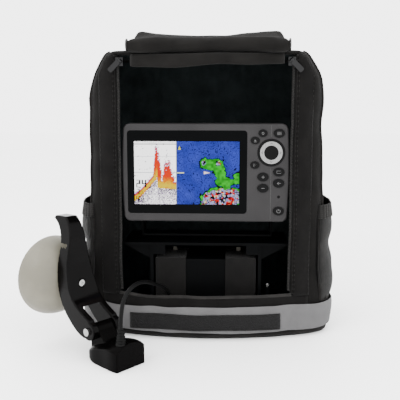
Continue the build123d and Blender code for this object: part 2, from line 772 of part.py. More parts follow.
stand_plane = Plane(origin=stand_origin, x_dir=stand_heading, z_dir=(0, 0, 1))


def in_stand(shape):
    """Move a shape from the stand's own frame to the object's."""
    return stand_plane.location * shape


def stand_profile(points, half):
    """A closed smooth outline in the stand's (x, z), extruded each way from its middle plane."""
    return extrude_y(make_face(points), -half, half)


rear_curve = [(66.0, 31.0), (81.0, 36.0), (97.0, 48.0), (113.0, 67.0), (122.5, 93.0), (127.0, 122.0),
              (126.0, 150.0), (131.0, 170.0), (146.0, 185.0)]
front_curve = [(119.0, 189.5), (106.0, 162.0), (105.5, 127.0), (99.5, 100.0), (90.0, 80.0), (74.0, 67.0),
               (55.0, 57.0)]
bracket_side = make_face(Curve() + [
    Spline(*rear_curve),
    Line(rear_curve[-1], (143.0, 189.0)),
    Line((143.0, 189.0), front_curve[0]),
    Spline(*front_curve),
    Line(front_curve[-1], rear_curve[0]),
])
bracket = extrude_y(bracket_side, -bracket_half, bracket_half)
eye_disc = Pos(pivot_x, 0, pivot_z) * Rot(90, 0, 0) * Cylinder(12.5, 2 * bracket_half)
bracket = bracket + eye_disc
front_half = [(bracket_half, 0.0), (bracket_half, 92.0), (20.5, 122.0), (14.0, 157.0), (8.5, 195.0)]
width_face = make_face(Polyline(*front_half, *[(-y, z) for y, z in reversed(front_half)], close=True))
bracket = bracket & extrude_x(width_face, 0, 300)
hollow_side = Pos(6.5, 0, 0) * extrude_y(bracket_side, -15.5, 15.5)
bracket = bracket - (hollow_side & slab((0, 300), (-far, far), (84, 152)))
fork_slot = slab((0, 108), (-fork_gap_half, fork_gap_half), (0, 70))
bracket = bracket - fork_slot
bracket = bracket - Pos(pivot_x, 0, pivot_z) * Rot(90, 0, 0) * Cylinder(bolt_radius + bolt_clearance, far)
screw_y_hole = Pos(100, 0, cup_height) * Rot(0, 90, 0) * Cylinder(3.0, 60)
counterbore = Pos(98, 0, cup_height) * Rot(0, 90, 0) * Cylinder(screw_head_radius + 0.6, 8)
bracket = bracket - screw_y_hole - counterbore
save("stand_bracket", in_stand(bracket))

screw_head = Pos(100.6, 0, cup_height) * Rot(0, 90, 0) * Cylinder(screw_head_radius, 2.6)
screw_shank = Pos(109, 0, cup_height) * Rot(0, 90, 0) * Cylinder(2.6, 17)
cross = Pos(99.3, 0, cup_height) * (Box(1.6, 5.2, 1.1) + Box(1.6, 1.1, 5.2))
save("cup_screw", in_stand(screw_head + screw_shank - cross))

cup_end = cup_start + cup_depth
cup_outer = [(cup_start, 0.0), (cup_start, 17.0), (cup_start + 4, 31.0), (cup_start + 14, 46.0),
             (cup_start + 30, 55.0), (cup_end - 3, cup_radius), (cup_end, cup_radius)]
cup_inner = [(cup_end, cup_radius - 1.5), (cup_start + 32, 51.0), (cup_start + 18, 41.0),
             (cup_start + 10, 26.0), (cup_start + 8, 0.0)]
cup_face = make_face(Curve() + [
    Line(cup_outer[0], cup_outer[1]),
    Spline(*cup_outer[1:6]),
    Line(cup_outer[5], cup_outer[6]),
    Line(cup_outer[6], cup_inner[0]),
    Spline(*cup_inner[:4]),
    Line(cup_inner[3], cup_inner[4]),
    Line(cup_inner[4], cup_outer[0]),
])
cup = revolve(cup_face, Axis.X)
cup = Pos(0, 0, cup_height) * cup
cup_stem = Pos((112 + cup_start + 1) / 2, 0, cup_height) * Rot(0, 90, 0) * Cylinder(stem_radius, cup_start + 1 - 112)
cup_stem = cup_stem - Pos(110, 0, cup_height) * Rot(0, 90, 0) * Cylinder(2.6, 17 + 2)
save("suction_cup", in_stand(cup + cup_stem))

# transducer: a loft of arched sections from the flat back face to the rounded nose


def arch(x, width, side, crown, low):
    """An arched section at x: flat underside, straight sides, crowned top."""
    half = width / 2
    outline = Curve() + [
        Line((-half, low), (half, low)),
        Line((half, low), (half, low + side)),
        ThreePointArc((half, low + side), (0, low + crown), (-half, low + side)),
        Line((-half, low + side), (-half, low)),
    ]
    plane = Plane(origin=(x, 0, 0), x_dir=(0, 1, 0), z_dir=(1, 0, 0))
    return plane * make_face(outline)


sections = [
    arch(0, transducer_width, transducer_side, transducer_crown, 0.0),
    arch(transducer_length * 0.4, transducer_width, transducer_side, transducer_crown * 0.97, 0.0),
    arch(transducer_length * 0.72, transducer_width * 0.94, transducer_side * 0.74, transducer_crown * 0.80, 0.0),
    arch(transducer_length * 0.92, transducer_width * 0.8, transducer_side * 0.45, transducer_crown * 0.54, 3.0),
    arch(transducer_length, transducer_width * 0.6, transducer_side * 0.22, transducer_crown * 0.28, 6.5),
]
transducer = loft(sections) & slab((-far, far), (-far, far), (0, far))
web_half = fork_gap_half - knuckle_clearance
web_profile = make_face(Polyline((30.0, 24.0), (64.0, 16.0), (pivot_x + knuckle_radius, pivot_z),
                                 (pivot_x - knuckle_radius * 0.3, pivot_z + knuckle_radius * 0.95), close=True))
knuckle = Pos(pivot_x, 0, pivot_z) * Rot(90, 0, 0) * Cylinder(knuckle_radius, 2 * web_half)
transducer = transducer + extrude_y(web_profile, -web_half, web_half) + knuckle
fork_room = Pos(pivot_x, 0, pivot_z) * Rot(90, 0, 0) * Cylinder(13.6, far)
fork_room = fork_room - slab((-far, far), (-web_half, web_half), (-far, far))
transducer = transducer - fork_room
transducer = transducer - Pos(pivot_x, 0, pivot_z) * Rot(90, 0, 0) * Cylinder(bolt_radius + bolt_clearance, far)
boot_seat = Pos(boot_x, boot_y, (boot_bottom + boot_top) / 2) * Cylinder(boot_base_radius, boot_top - boot_bottom)
save("transducer_body", in_stand(transducer - boot_seat))

bolt_tip = -bracket_half - nut_height - bolt_proud
bolt = Pos(pivot_x, (bracket_half + bolt_tip) / 2, pivot_z) * Rot(90, 0, 0) * Cylinder(
    bolt_radius, bracket_half - bolt_tip)
bolt_head = Pos(pivot_x, bracket_half + bolt_head_height / 2, pivot_z) * Rot(90, 0, 0) * Cylinder(
    bolt_head_radius, bolt_head_height)
save("pivot_bolt", in_stand(bolt + bolt_head))
nut_plane = Plane(origin=(pivot_x, -bracket_half, pivot_z), x_dir=(1, 0, 0), z_dir=(0, -1, 0))
nut = extrude(nut_plane * RegularPolygon(nut_flat / 2, 6, major_radius=False), nut_height)
nut = nut - Pos(pivot_x, 0, pivot_z) * Rot(90, 0, 0) * Cylinder(bolt_radius, far)
save("pivot_nut", in_stand(nut))

boot_cone = Pos(boot_x, boot_y, (boot_bottom + boot_top) / 2) * Cone(boot_base_radius, boot_tip_radius,
                                                                    boot_top - boot_bottom)
save("transducer_boot", in_stand(boot_cone))

# ---------------------------------------------------------------- sonar cable

boot_tip = in_stand(Pos(boot_x, boot_y, boot_top) * Vertex(0, 0, 0)).center()
coil_height = coil_layers * cable_diameter
coil_width = coil_columns * cable_diameter
coil_low = floor_top
coil_room = case_back - case_wall - coil_back_gap - battery_y[1] - coil_gap
coil_mean_radius = (coil_room - coil_width) / 2
coil_y = battery_y[1] + coil_gap + coil_mean_radius + coil_width / 2
lane_x = gusset_inner + lane_gap
lane_z = floor_top + cable_diameter / 2 + lane_lift
lip_z = opening_bottom + lip_lift
coil_side = coil_x - coil_mean_radius - coil_width / 2
route = [
    (boot_tip.X, boot_tip.Y, boot_tip.Z),
    (boot_tip.X, boot_tip.Y, boot_tip.Z + boot_rise),
    (-98.0, -196.5, 102.0),
    (-83.0, -164.0, 107.0),
    (-65.0, -123.0, 89.0),
    (-56.0, -case_front + 5.0, lip_z),
    (-51.0, -tray_front - 10.0, lip_z - 19.0),
    (-59.0, -tray_front - 5.0, lane_z + 13.2),
    (-79.0, -tray_front + 2.0, lane_z + 2.2),
    (-lane_x + 6.0, -tray_front + 20.0, lane_z),
    (-lane_x, -tray_front + 50.0, lane_z),
    (-lane_x + 3.0, battery_y[1] + 9.0, lane_z),
    (coil_side - 1.5, coil_y - 19.0, lane_z),
]


def cable_path(points):
    """Straight runs joined by the largest tangent arcs that the runs allow."""
    radii = []
    for before, here, after in zip(points, points[1:], points[2:]):
        one = Vector(*here) - Vector(*before)
        two = Vector(*after) - Vector(*here)
        turn = math.radians(one.get_angle(two))
        radii.append(0.45 * min(one.length, two.length) / math.tan(turn / 2))
    print("cable radii", [round(r, 1) for r in radii])
    return FilletPolyline(*points, radius=radii)


path = cable_path(route)
start = Plane(origin=route[0], z_dir=path % 0)
cable = sweep(start * Circle(cable_diameter / 2), path=path)
print("cable length", round(path.length, 1), "volume ratio",
      round(cable.volume / (math.pi * (cable_diameter / 2) ** 2 * path.length), 4))
save("sonar_cable", cable)

coil_face = Pos(coil_mean_radius, coil_low + coil_height / 2) * RectangleRounded(
    coil_width, coil_height, cable_diameter / 2)
coil_ring = revolve(Plane.XZ * coil_face, Axis.Z)
coil_ring = Pos(coil_x, coil_y, 0) * coil_ring
turns = coil_columns * coil_layers
print("coil length", round(turns * 2 * math.pi * coil_mean_radius, 1), "turns", turns)
save("cable_coil", coil_ring)
plug_z = coil_low + coil_height + plug_radius
plug = Pos(coil_x + coil_mean_radius, coil_y, plug_z) * Rot(90, 0, 0) * Cylinder(
    plug_radius, plug_length)
save("sonar_plug", plug)
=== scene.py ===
"""Looks of the portable fish finder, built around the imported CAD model. Metres, +Z up, door to -Y."""
import json
import math
import bpy
import bmesh
import numpy as np
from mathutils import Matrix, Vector, noise

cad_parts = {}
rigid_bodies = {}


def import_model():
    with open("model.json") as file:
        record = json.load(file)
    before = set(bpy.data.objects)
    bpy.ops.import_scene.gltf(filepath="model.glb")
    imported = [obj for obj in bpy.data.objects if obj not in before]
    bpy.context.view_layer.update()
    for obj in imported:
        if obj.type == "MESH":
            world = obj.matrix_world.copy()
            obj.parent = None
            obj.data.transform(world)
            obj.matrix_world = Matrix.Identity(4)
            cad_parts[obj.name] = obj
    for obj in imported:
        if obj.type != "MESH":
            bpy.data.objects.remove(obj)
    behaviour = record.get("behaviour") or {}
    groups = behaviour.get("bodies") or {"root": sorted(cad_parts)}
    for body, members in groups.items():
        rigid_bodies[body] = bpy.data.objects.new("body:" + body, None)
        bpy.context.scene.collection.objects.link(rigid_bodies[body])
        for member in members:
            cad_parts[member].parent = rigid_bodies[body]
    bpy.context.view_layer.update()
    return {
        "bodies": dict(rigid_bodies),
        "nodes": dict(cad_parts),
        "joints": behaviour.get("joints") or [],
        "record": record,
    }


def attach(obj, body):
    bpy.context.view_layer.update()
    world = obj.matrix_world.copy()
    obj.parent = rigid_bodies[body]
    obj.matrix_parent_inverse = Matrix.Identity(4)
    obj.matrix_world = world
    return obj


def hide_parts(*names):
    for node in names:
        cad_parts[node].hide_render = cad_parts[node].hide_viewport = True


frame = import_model()
cad = frame["nodes"]
TAU = 2 * math.pi

# ---------------------------------------------------------------- materials


class Nodes:
    """A small helper that builds one material's node tree."""

    def __init__(self, name, colour, roughness, **constants):
        self.material = bpy.data.materials.new(name)
        self.material.use_nodes = True
        self.tree = self.material.node_tree
        self.shader = self.tree.nodes["Principled BSDF"]
        self.shader.inputs["Base Color"].default_value = (*colour, 1)
        self.shader.inputs["Roughness"].default_value = roughness
        self.material.diffuse_color = (*colour, 1)
        for socket, value in constants.items():
            self.shader.inputs[socket.replace("_", " ")].default_value = value
        self.place = None

    def add(self, kind, **settings):
        node = self.tree.nodes.new(kind)
        for key, value in settings.items():
            setattr(node, key, value)
        return node

    def link(self, output, target):
        self.tree.links.new(output, target)

    def position(self):
        if self.place is None:
            self.place = self.add("ShaderNodeTexCoord").outputs["Object"]
        return self.place

    def noise(self, scale, detail=3.0, rough=0.55, stretch=None):
        node = self.add("ShaderNodeTexNoise")
        node.inputs["Scale"].default_value = scale
        node.inputs["Detail"].default_value = detail
        node.inputs["Roughness"].default_value = rough
        source = self.position()
        if stretch:
            mapping = self.add("ShaderNodeMapping")
            mapping.inputs["Scale"].default_value = stretch
            self.link(source, mapping.inputs["Vector"])
            source = mapping.outputs["Vector"]
        self.link(source, node.inputs["Vector"])
        return node.outputs["Fac"]

    def math(self, operation, first, second=None):
        node = self.add("ShaderNodeMath", operation=operation)
        for socket, value in zip(node.inputs, (first, second)):
            if value is None:
                continue
            if isinstance(value, (int, float)):
                socket.default_value = value
            else:
                self.link(value, socket)
        return node.outputs[0]

    def axes(self):
        node = self.add("ShaderNodeSeparateXYZ")
        self.link(self.position(), node.inputs[0])
        return node.outputs

    def wave(self, coordinate, pitch):
        return self.math("SINE", self.math("MULTIPLY", coordinate, TAU / pitch))

    def ramp(self, value, stops):
        node = self.add("ShaderNodeValToRGB")
        ramp = node.color_ramp
        while len(ramp.elements) < len(stops):
            ramp.elements.new(0.5)
        for element, (position, colour) in zip(ramp.elements, stops):
            element.position = position
            element.color = (*colour, 1)
        self.link(value, node.inputs[0])
        return node.outputs[0]

    def colour(self, output):
        self.link(output, self.shader.inputs["Base Color"])

    def rough(self, value, low, high):
        node = self.add("ShaderNodeMapRange")
        node.inputs["To Min"].default_value = low
        node.inputs["To Max"].default_value = high
        self.link(value, node.inputs["Value"])
        self.link(node.outputs[0], self.shader.inputs["Roughness"])

    def bump(self, height, strength, distance):
        node = self.add("ShaderNodeBump")
        node.inputs["Strength"].default_value = strength
        node.inputs["Distance"].default_value = distance
        old = self.shader.inputs["Normal"]
        if old.is_linked:
            self.link(old.links[0].from_socket, node.inputs["Normal"])
        self.link(height, node.inputs["Height"])
        self.link(node.outputs[0], self.shader.inputs["Normal"])


def shade(colour, factor):
    return tuple(min(1.0, c * factor) for c in colour)


def cloth_material(name, colour, pitch=0.0016, contrast=0.35, sheen=0.02, depth=0.0006, roughness=0.9,
                   folds=0.0):
    """Plain-woven pack cloth: crossing threads, uneven dye and, if asked for, hanging folds."""
    m = Nodes(name, colour, roughness, Sheen_Weight=sheen, Sheen_Roughness=0.5, Specular_IOR_Level=0.035)
    x, y, z = m.axes()
    across = m.wave(m.math("ADD", x, y), pitch)
    up = m.wave(z, pitch)
    weave = m.math("MULTIPLY", across, up)
    patch = m.noise(38, 4)
    grain = m.noise(900, 2)
    mixed = m.math("ADD", m.math("MULTIPLY", patch, 0.7), m.math("MULTIPLY", grain, 0.3))
    lit = m.math("ADD", mixed, m.math("MULTIPLY", weave, 0.10))
    m.colour(m.ramp(lit, [(0.30, shade(colour, 1 - contrast)), (0.70, shade(colour, 1 + contrast))]))
    m.rough(grain, roughness - 0.10, min(1.0, roughness + 0.08))
    m.bump(weave, 0.35, depth)
    m.bump(m.noise(55, 3), 0.25, 0.003)
    if folds:
        m.bump(m.noise(26, 2, stretch=(1, 1, 0.22)), 0.9, folds)
    return m.material


def plastic_material(name, colour, roughness=0.45, grain=0.00012, scale=1400, coat=0.0, gloss=0.3, **extra):
    """Moulded plastic: fine texture, slight tone change, softer gloss where it is handled."""
    m = Nodes(name, colour, roughness, Specular_IOR_Level=gloss, Coat_Weight=coat, Coat_Roughness=0.12,
              **extra)
    fine = m.noise(scale, 2)
    broad = m.noise(22, 3)
    m.colour(m.ramp(broad, [(0.35, shade(colour, 0.88)), (0.65, shade(colour, 1.12))]))
    m.rough(broad, max(0.03, roughness - 0.06), roughness + 0.08)
    m.bump(fine, 0.3, grain)
    return m.material


def metal_material(name, colour, roughness):
    m = Nodes(name, colour, roughness, Metallic=1.0)
    streak = m.noise(700, 2, stretch=(1, 1, 0.08))
    m.colour(m.ramp(streak, [(0.3, shade(colour, 0.82)), (0.7, shade(colour, 1.08))]))
    m.rough(m.noise(160, 3), roughness * 0.7, roughness * 1.5)
    m.bump(streak, 0.15, 0.00005)
    return m.material


def rib_material(name, colour, pitch, roughness=0.7, along="z"):
    """Ribbed webbing or elastic: ribs across one axis and a fine weave."""
    m = Nodes(name, colour, roughness, Sheen_Weight=0.02, Specular_IOR_Level=0.07)
    x, y, z = m.axes()
    line = z if along == "z" else m.math("ADD", x, y)
    rib = m.wave(line, pitch)
    grain = m.noise(1200, 2)
    value = m.math("ADD", m.math("MULTIPLY", rib, 0.16), m.noise(60, 3))
    m.colour(m.ramp(value, [(0.3, shade(colour, 0.6)), (0.75, shade(colour, 1.4))]))
    m.rough(grain, roughness - 0.1, roughness + 0.1)
    m.bump(rib, 0.5, 0.0004)
    m.bump(grain, 0.2, 0.0002)
    return m.material


def mesh_material(name, colour):
    """Knitted pocket mesh: a lattice of small dark holes between lighter threads."""
    m = Nodes(name, colour, 0.75, Sheen_Weight=0.02, Specular_IOR_Level=0.1)
    x, y, z = m.axes()
    side = m.math("ADD", x, y)
    one = m.wave(m.math("ADD", side, z), 0.0036)
    two = m.wave(m.math("SUBTRACT", side, z), 0.0036)
    holes = m.math("MULTIPLY", one, two)
    value = m.math("ADD", m.math("MULTIPLY", holes, 0.30), m.noise(90, 3))
    m.colour(m.ramp(value, [(0.25, shade(colour, 0.25)), (0.55, colour), (0.85, shade(colour, 3.0))]))
    m.bump(holes, 0.8, 0.0008)
    return m.material


def hook_material(name, colour):
    """Hook tape: thousands of stiff little hooks in rows."""
    m = Nodes(name, colour, 0.6, Sheen_Weight=0.02, Specular_IOR_Level=0.1)
    speck = m.add("ShaderNodeTexVoronoi")
    speck.inputs["Scale"].default_value = 620
    m.link(m.position(), speck.inputs["Vector"])
    hooks = speck.outputs["Distance"]
    value = m.math("ADD", m.math("MULTIPLY", hooks, 0.5), m.math("MULTIPLY", m.noise(300, 4), 0.5))
    m.colour(m.ramp(value, [(0.25, shade(colour, 3.4)), (0.60, shade(colour, 0.5))]))
    m.bump(hooks, 0.9, 0.0012)
    return m.material


# the studio light is strong, so the base colours are darker than the real materials'
case_cloth = cloth_material("pack_cloth", (0.0030, 0.0028, 0.0026))
panel_cloth = cloth_material("panel_cloth", (0.0028, 0.0026, 0.0025), pitch=0.0021, depth=0.0008)
door_cloth = cloth_material("door_cloth", (0.0046, 0.0043, 0.0040), pitch=0.0018)
lining_cloth = cloth_material("lining_cloth", (0.0110, 0.0140, 0.0145), pitch=0.0014, contrast=0.45,
                              sheen=0.0, folds=0.012)
grey_cloth = cloth_material("grey_cloth", (0.062, 0.061, 0.062), pitch=0.0019, contrast=0.14, sheen=0.04,
                            roughness=0.7)
piping_cloth = cloth_material("piping_cloth", (0.006, 0.0055, 0.0052), pitch=0.0012)
thread_cloth = cloth_material("stitch_thread", (0.010, 0.0095, 0.009), pitch=0.0008, contrast=0.2)
webbing = rib_material("webbing", (0.0075, 0.007, 0.0066), 0.0022)
elastic = rib_material("ribbed_elastic", (0.006, 0.0056, 0.0053), 0.0030)
zip_tape = rib_material("zip_tape", (0.006, 0.0058, 0.0055), 0.0015)
strap_loop = rib_material("loop_webbing", (0.0018, 0.0016, 0.0015), 0.0016, along="x")
pocket_mesh = mesh_material("pocket_mesh", (0.0042, 0.0040, 0.0038))
hook_tape = hook_material("hook_tape", (0.0008, 0.0007, 0.0008))
zip_coil = plastic_material("zip_coil", (0.009, 0.0086, 0.0082), 0.35, gloss=0.15)
zip_metal = plastic_material("zip_enamel", (0.004, 0.004, 0.0043), 0.2, gloss=0.2, Metallic=0.3)
tray_plastic = plastic_material("tray_moulding", (0.0006, 0.0007, 0.0008), 0.42, gloss=0.02)
battery_plastic = plastic_material("battery_case", (0.0006, 0.0007, 0.0008), 0.5, gloss=0.02)
bracket_nylon = plastic_material("glass_filled_nylon", (0.0016, 0.0018, 0.0019), 0.55, gloss=0.05,
                                 grain=0.0002, scale=900)
bezel_plastic = plastic_material("bezel_moulding", (0.0120, 0.0114, 0.0118), 0.42, gloss=0.10,
                                 grain=0.00008, scale=2600)
rear_plastic = plastic_material("rear_moulding", (0.010, 0.010, 0.010), 0.5, gloss=0.15)
gloss_black = plastic_material("gloss_black", (0.0010, 0.0010, 0.0011), 0.2, grain=0.00001, gloss=0.05)
glass_black = plastic_material("bonded_glass", (0.0005, 0.0006, 0.0007), 0.06, grain=0.00001, gloss=0.02)
key_rubber = plastic_material("key_rubber", (0.0013, 0.0013, 0.0014), 0.45, grain=0.00006, gloss=0.05)
key_mark = plastic_material("key_legend", (0.05, 0.05, 0.05), 0.5)
pad_silver = metal_material("pad_silver", (0.16, 0.16, 0.16), 0.4)
bright_metal = metal_material("plated_steel", (0.28, 0.28, 0.275), 0.22)
terminal_metal = metal_material("tinned_blade", (0.06, 0.056, 0.048), 0.45)
board_green = plastic_material("solder_mask", (0.01, 0.10, 0.035), 0.3, coat=0.4)
seal_rubber = plastic_material("seal_rubber", (0.003, 0.003, 0.003), 0.75, gloss=0.1)
stand_gloss = plastic_material("stand_gloss", (0.0007, 0.0006, 0.0006), 0.16, grain=0.00002, gloss=0.035)
transducer_satin = plastic_material("transducer_satin", (0.0006, 0.0005, 0.0005), 0.26, grain=0.00007,
                                    gloss=0.015)
cup_vinyl = plastic_material("cup_vinyl", (0.112, 0.105, 0.083), 0.42, gloss=0.12, grain=0.00006,
                             Subsurface_Weight=0.12, Subsurface_Radius=(0.006, 0.005, 0.004),
                             Subsurface_Scale=1.0)
cable_jacket = plastic_material("cable_jacket", (0.0012, 0.0012, 0.0012), 0.4, gloss=0.05)

cad_materials = {
    tray_plastic: "tray",
    battery_plastic: "battery",
    terminal_metal: "battery_terminals",
    strap_loop: "battery_straps",
    bright_metal: "hold_down_nut case_screws cup_screw pivot_bolt pivot_nut",
    bracket_nylon: "gimbal_bracket tilt_knob_left tilt_knob_right pad_spider",
    bezel_plastic: "front_bezel",
    rear_plastic: "rear_case",
    glass_black: "screen_glass",
    gloss_black: "lcd_panel pad_trim pad_centre light_sensor",
    board_green: "circuit_board",
    seal_rubber: "case_gasket rear_sockets sonar_plug",
    pad_silver: "pad_ring",
    cup_vinyl: "suction_cup",
    stand_gloss: "stand_bracket",
    transducer_satin: "transducer_body",
    cable_jacket: "transducer_boot sonar_cable cable_coil",
    zip_metal: "zip_slider_left zip_slider_right pull_tab_left pull_tab_right",
    webbing: "grab_handle shoulder_strap_left shoulder_strap_right",
    hook_tape: "hook_strip",
    grey_cloth: "base_band",
    pocket_mesh: "side_pocket_left side_pocket_right",
    elastic: "pocket_elastics",
    zip_tape: "zip_left zip_right",
    door_cloth: "rolled_door",
    panel_cloth: "front_lip front_panel_left front_panel_right",
    case_cloth: "base_panel case_body",
}
node_material = {node: material for material, nodes in cad_materials.items() for node in nodes.split()}
for name, part in cad.items():
    part.data.materials.clear()
    part.data.materials.append(key_rubber if name.startswith("key_") else node_material[name])


# ---------------------------------------------------------------- mesh helpers


def new_object(name, vertices, faces, material, smooth=True):
    mesh = bpy.data.meshes.new(name)
    mesh.from_pydata([tuple(v) for v in vertices], [], faces)
    mesh.validate()
    mesh.materials.append(material)
    if smooth:
        mesh.polygons.foreach_set("use_smooth", [True] * len(mesh.polygons))
    piece = bpy.data.objects.new(name, mesh)
    bpy.context.scene.collection.objects.link(piece)
    return piece


def bake_modifiers(piece):
    """Replace the piece's mesh by what its modifiers make of it."""
    graph = bpy.context.evaluated_depsgraph_get()
    graph.update()
    mesh = bpy.data.meshes.new_from_object(piece.evaluated_get(graph))
    piece.modifiers.clear()
    piece.data = mesh


def add_modifier(piece, kind, **settings):
    modifier = piece.modifiers.new(kind.lower(), kind)
    for key, value in settings.items():
        setattr(modifier, key, value)
    return modifier


def grid_faces(rows, columns, closed=False):
    faces = []
    for r in range(rows - 1):
        for c in range(columns if closed else columns - 1):
            d = (c + 1) % columns
            faces.append((r * columns + c, r * columns + d, (r + 1) * columns + d, (r + 1) * columns + c))
    return faces


def closed_faces(rings, sides):
    """Faces of a closed tube: rings of points joined by quads, with a cap on each end."""
    last = (rings - 1) * sides
    caps = [tuple(range(sides - 1, -1, -1)), tuple(range(last, last + sides))]
    return grid_faces(rings, sides, closed=True) + caps


def tube_points(path, radius, sides=10, flat=1.0, side_axis=None):
    """Vertices and faces of a closed tube along a list of points; radius may be a function of the index."""
    points = [Vector(p) for p in path]
    tangents = []
    for i, p in enumerate(points):
        tangents.append((points[min(i + 1, len(points) - 1)] - points[max(i - 1, 0)]).normalized())
    reference = Vector(side_axis) if side_axis else (
        Vector((0, 0, 1)) if abs(tangents[0].z) < 0.9 else Vector((1, 0, 0)))
    normal = (reference - tangents[0] * reference.dot(tangents[0])).normalized()
    vertices = []
    for i, (p, t) in enumerate(zip(points, tangents)):
        normal = (normal - t * normal.dot(t)).normalized()
        other = t.cross(normal)
        r = radius(i) if callable(radius) else radius
        for k in range(sides):
            a = TAU * k / sides
            vertices.append(p + normal * (math.cos(a) * r) + other * (math.sin(a) * r * flat))
    return vertices, closed_faces(len(points), sides)


def join_shapes(shapes):
    """Join several (vertices, faces) into one."""
    vertices, faces = [], []
    for some, more in shapes:
        base = len(vertices)
        vertices += list(some)
        faces += [tuple(i + base for i in f) for f in more]
    return vertices, faces


def ripple(p, scale, amount, seed=0.0):
    """Smooth noise in metres at a point."""
    return noise.noise(Vector((p[0] * scale + seed, p[1] * scale - seed, p[2] * scale + 2 * seed))) * amount


# ---------------------------------------------------------------- the case's form

CASE_HEIGHT = 0.418
BASE_HALF = 0.186
WAIST_HALF = 0.1765
TOP_HALF = 0.1705
FRONT = 0.103
BACK = 0.112
SAG = 0.041
BOW = (BASE_HALF ** 2 + SAG ** 2) / (2 * SAG)
OPENING_HALF = 0.127
OPENING_LOW = 0.064
OPENING_HIGH = 0.413
PANEL_OUTER = 0.152
SHOULDER_DROP = 0.066
SHOULDER_RUN = 0.0275
EDGE = 0.011


def half_width(z):
    if z < 0.048:
        half = BASE_HALF
    elif z < 0.110:
        t = (z - 0.048) / 0.062
        half = BASE_HALF + (WAIST_HALF - BASE_HALF) * t * t * (3 - 2 * t)
    else:
        half = WAIST_HALF + (TOP_HALF - WAIST_HALF) * (z - 0.110) / (CASE_HEIGHT - 0.110)
    above = (z - (CASE_HEIGHT - SHOULDER_DROP)) / SHOULDER_DROP
    if above > 0:
        half -= SHOULDER_RUN * above ** 1.7
    round_over = (z - (CASE_HEIGHT - 0.007)) / 0.007
    if round_over > 0:
        half -= 0.009 * (1 - math.sqrt(max(0.0, 1 - min(1.0, round_over) ** 2)))
    return half


def edge_inset(z):
    """How far the front and back draw in as the surface rolls over at the top and the bottom."""
    over = max(z - (CASE_HEIGHT - EDGE), EDGE - z, 0.0)
    return EDGE - math.sqrt(max(0.0, EDGE ** 2 - min(over, EDGE) ** 2))


def bow_y(x):
    return BOW - math.sqrt(BOW ** 2 - x ** 2)


def bezier(p0, p1, p2, p3, t):
    s = 1 - t
    return [s ** 3 * a + 3 * s * s * t * b + 3 * s * t * t * c + t ** 3 * d
            for a, b, c, d in zip(p0, p1, p2, p3)]


COLUMNS = {"front": 22, "panel": 6, "shoulder": 4, "corner": 10, "side": 22, "rear_corner": 10, "rear": 18}


def plan_half(half, inset):
    """The right half of the outline, from the front's middle to the back's middle."""
    front = -FRONT + inset
    points = []
    outer = min(PANEL_OUTER, half - 0.012)
    edges = [0.0, min(OPENING_HALF, outer - 0.008), outer, outer + 0.002]
    counts = (COLUMNS["front"], COLUMNS["panel"], COLUMNS["shoulder"])
    for low, high, count in zip(edges, edges[1:], counts):
        for i in range(count):
            x = low + (high - low) * i / count
            points.append((x, front + bow_y(x)))
    x0 = edges[-1]
    y0 = front + bow_y(x0)
    slope = x0 / math.sqrt(BOW ** 2 - x0 ** 2)
    y1 = y0 + 0.042
    reach = (half - x0)
    for i in range(COLUMNS["corner"]):
        t = i / COLUMNS["corner"]
        points.append(tuple(bezier((x0, y0), (x0 + reach * 0.7, y0 + reach * 0.7 * slope),
                                   (half, y1 - 0.018), (half, y1), t)))
    back = BACK - inset
    rear_radius = 0.038
    for i in range(COLUMNS["side"]):
        points.append((half, y1 + (back - rear_radius - y1) * i / COLUMNS["side"]))
    for i in range(COLUMNS["rear_corner"]):
        a = math.pi / 2 * i / COLUMNS["rear_corner"]
        points.append((half - rear_radius + rear_radius * math.cos(a),
                       back - rear_radius + rear_radius * math.sin(a)))
    for i in range(COLUMNS["rear"] + 1):
        points.append(((half - rear_radius) * (1 - i / COLUMNS["rear"]), back))
    return points


HALF_COUNT = len(plan_half(WAIST_HALF, 0.0))
PANEL_COLUMNS = COLUMNS["front"] + COLUMNS["panel"]


def softness(p):
    """How far the stuffed cloth swells or sinks at a point."""
    return (ripple(p, 11, 0.0050, 3.1) + ripple(p, 31, 0.0026, 7.7)
            + ripple((p.x, p.y, p.z * 0.35), 70, 0.0012, 1.3))


def case_point(column, z, grow=0.0, crumple=1.0):
    """A point of the case's surface. Columns count from the front's middle, negative to the left."""
    x, y = plan_half(half_width(z), edge_inset(z))[abs(column)]
    sign = -1 if column < 0 else 1
    ratio = abs(column)
    if ratio <= PANEL_COLUMNS + COLUMNS["shoulder"]:
        normal = Vector((sign * x / BOW, -1, 0))
    elif ratio < PANEL_COLUMNS + COLUMNS["shoulder"] + COLUMNS["corner"]:
        t = (ratio - PANEL_COLUMNS - COLUMNS["shoulder"]) / COLUMNS["corner"]
        normal = Vector((sign * math.sin(t * math.pi / 2), -math.cos(t * math.pi / 2), 0))
    elif ratio <= HALF_COUNT - 1 - COLUMNS["rear"] - COLUMNS["rear_corner"]:
        normal = Vector((sign, 0, 0))
    elif ratio < HALF_COUNT - 1 - COLUMNS["rear"]:
        t = (ratio - (HALF_COUNT - 1 - COLUMNS["rear"] - COLUMNS["rear_corner"])) / COLUMNS["rear_corner"]
        normal = Vector((sign * math.cos(t * math.pi / 2), math.sin(t * math.pi / 2), 0))
    else:
        normal = Vector((0, 1, 0))
    normal.normalize()
    p = Vector((sign * x, y, z))
    calm = min(1.0, z / 0.05) * min(1.0, max(0.0, (CASE_HEIGHT + 0.01 - z) / 0.05))
    if ratio <= PANEL_COLUMNS:
        calm *= 0.35
    return p + normal * (grow + crumple * softness(p) * calm)


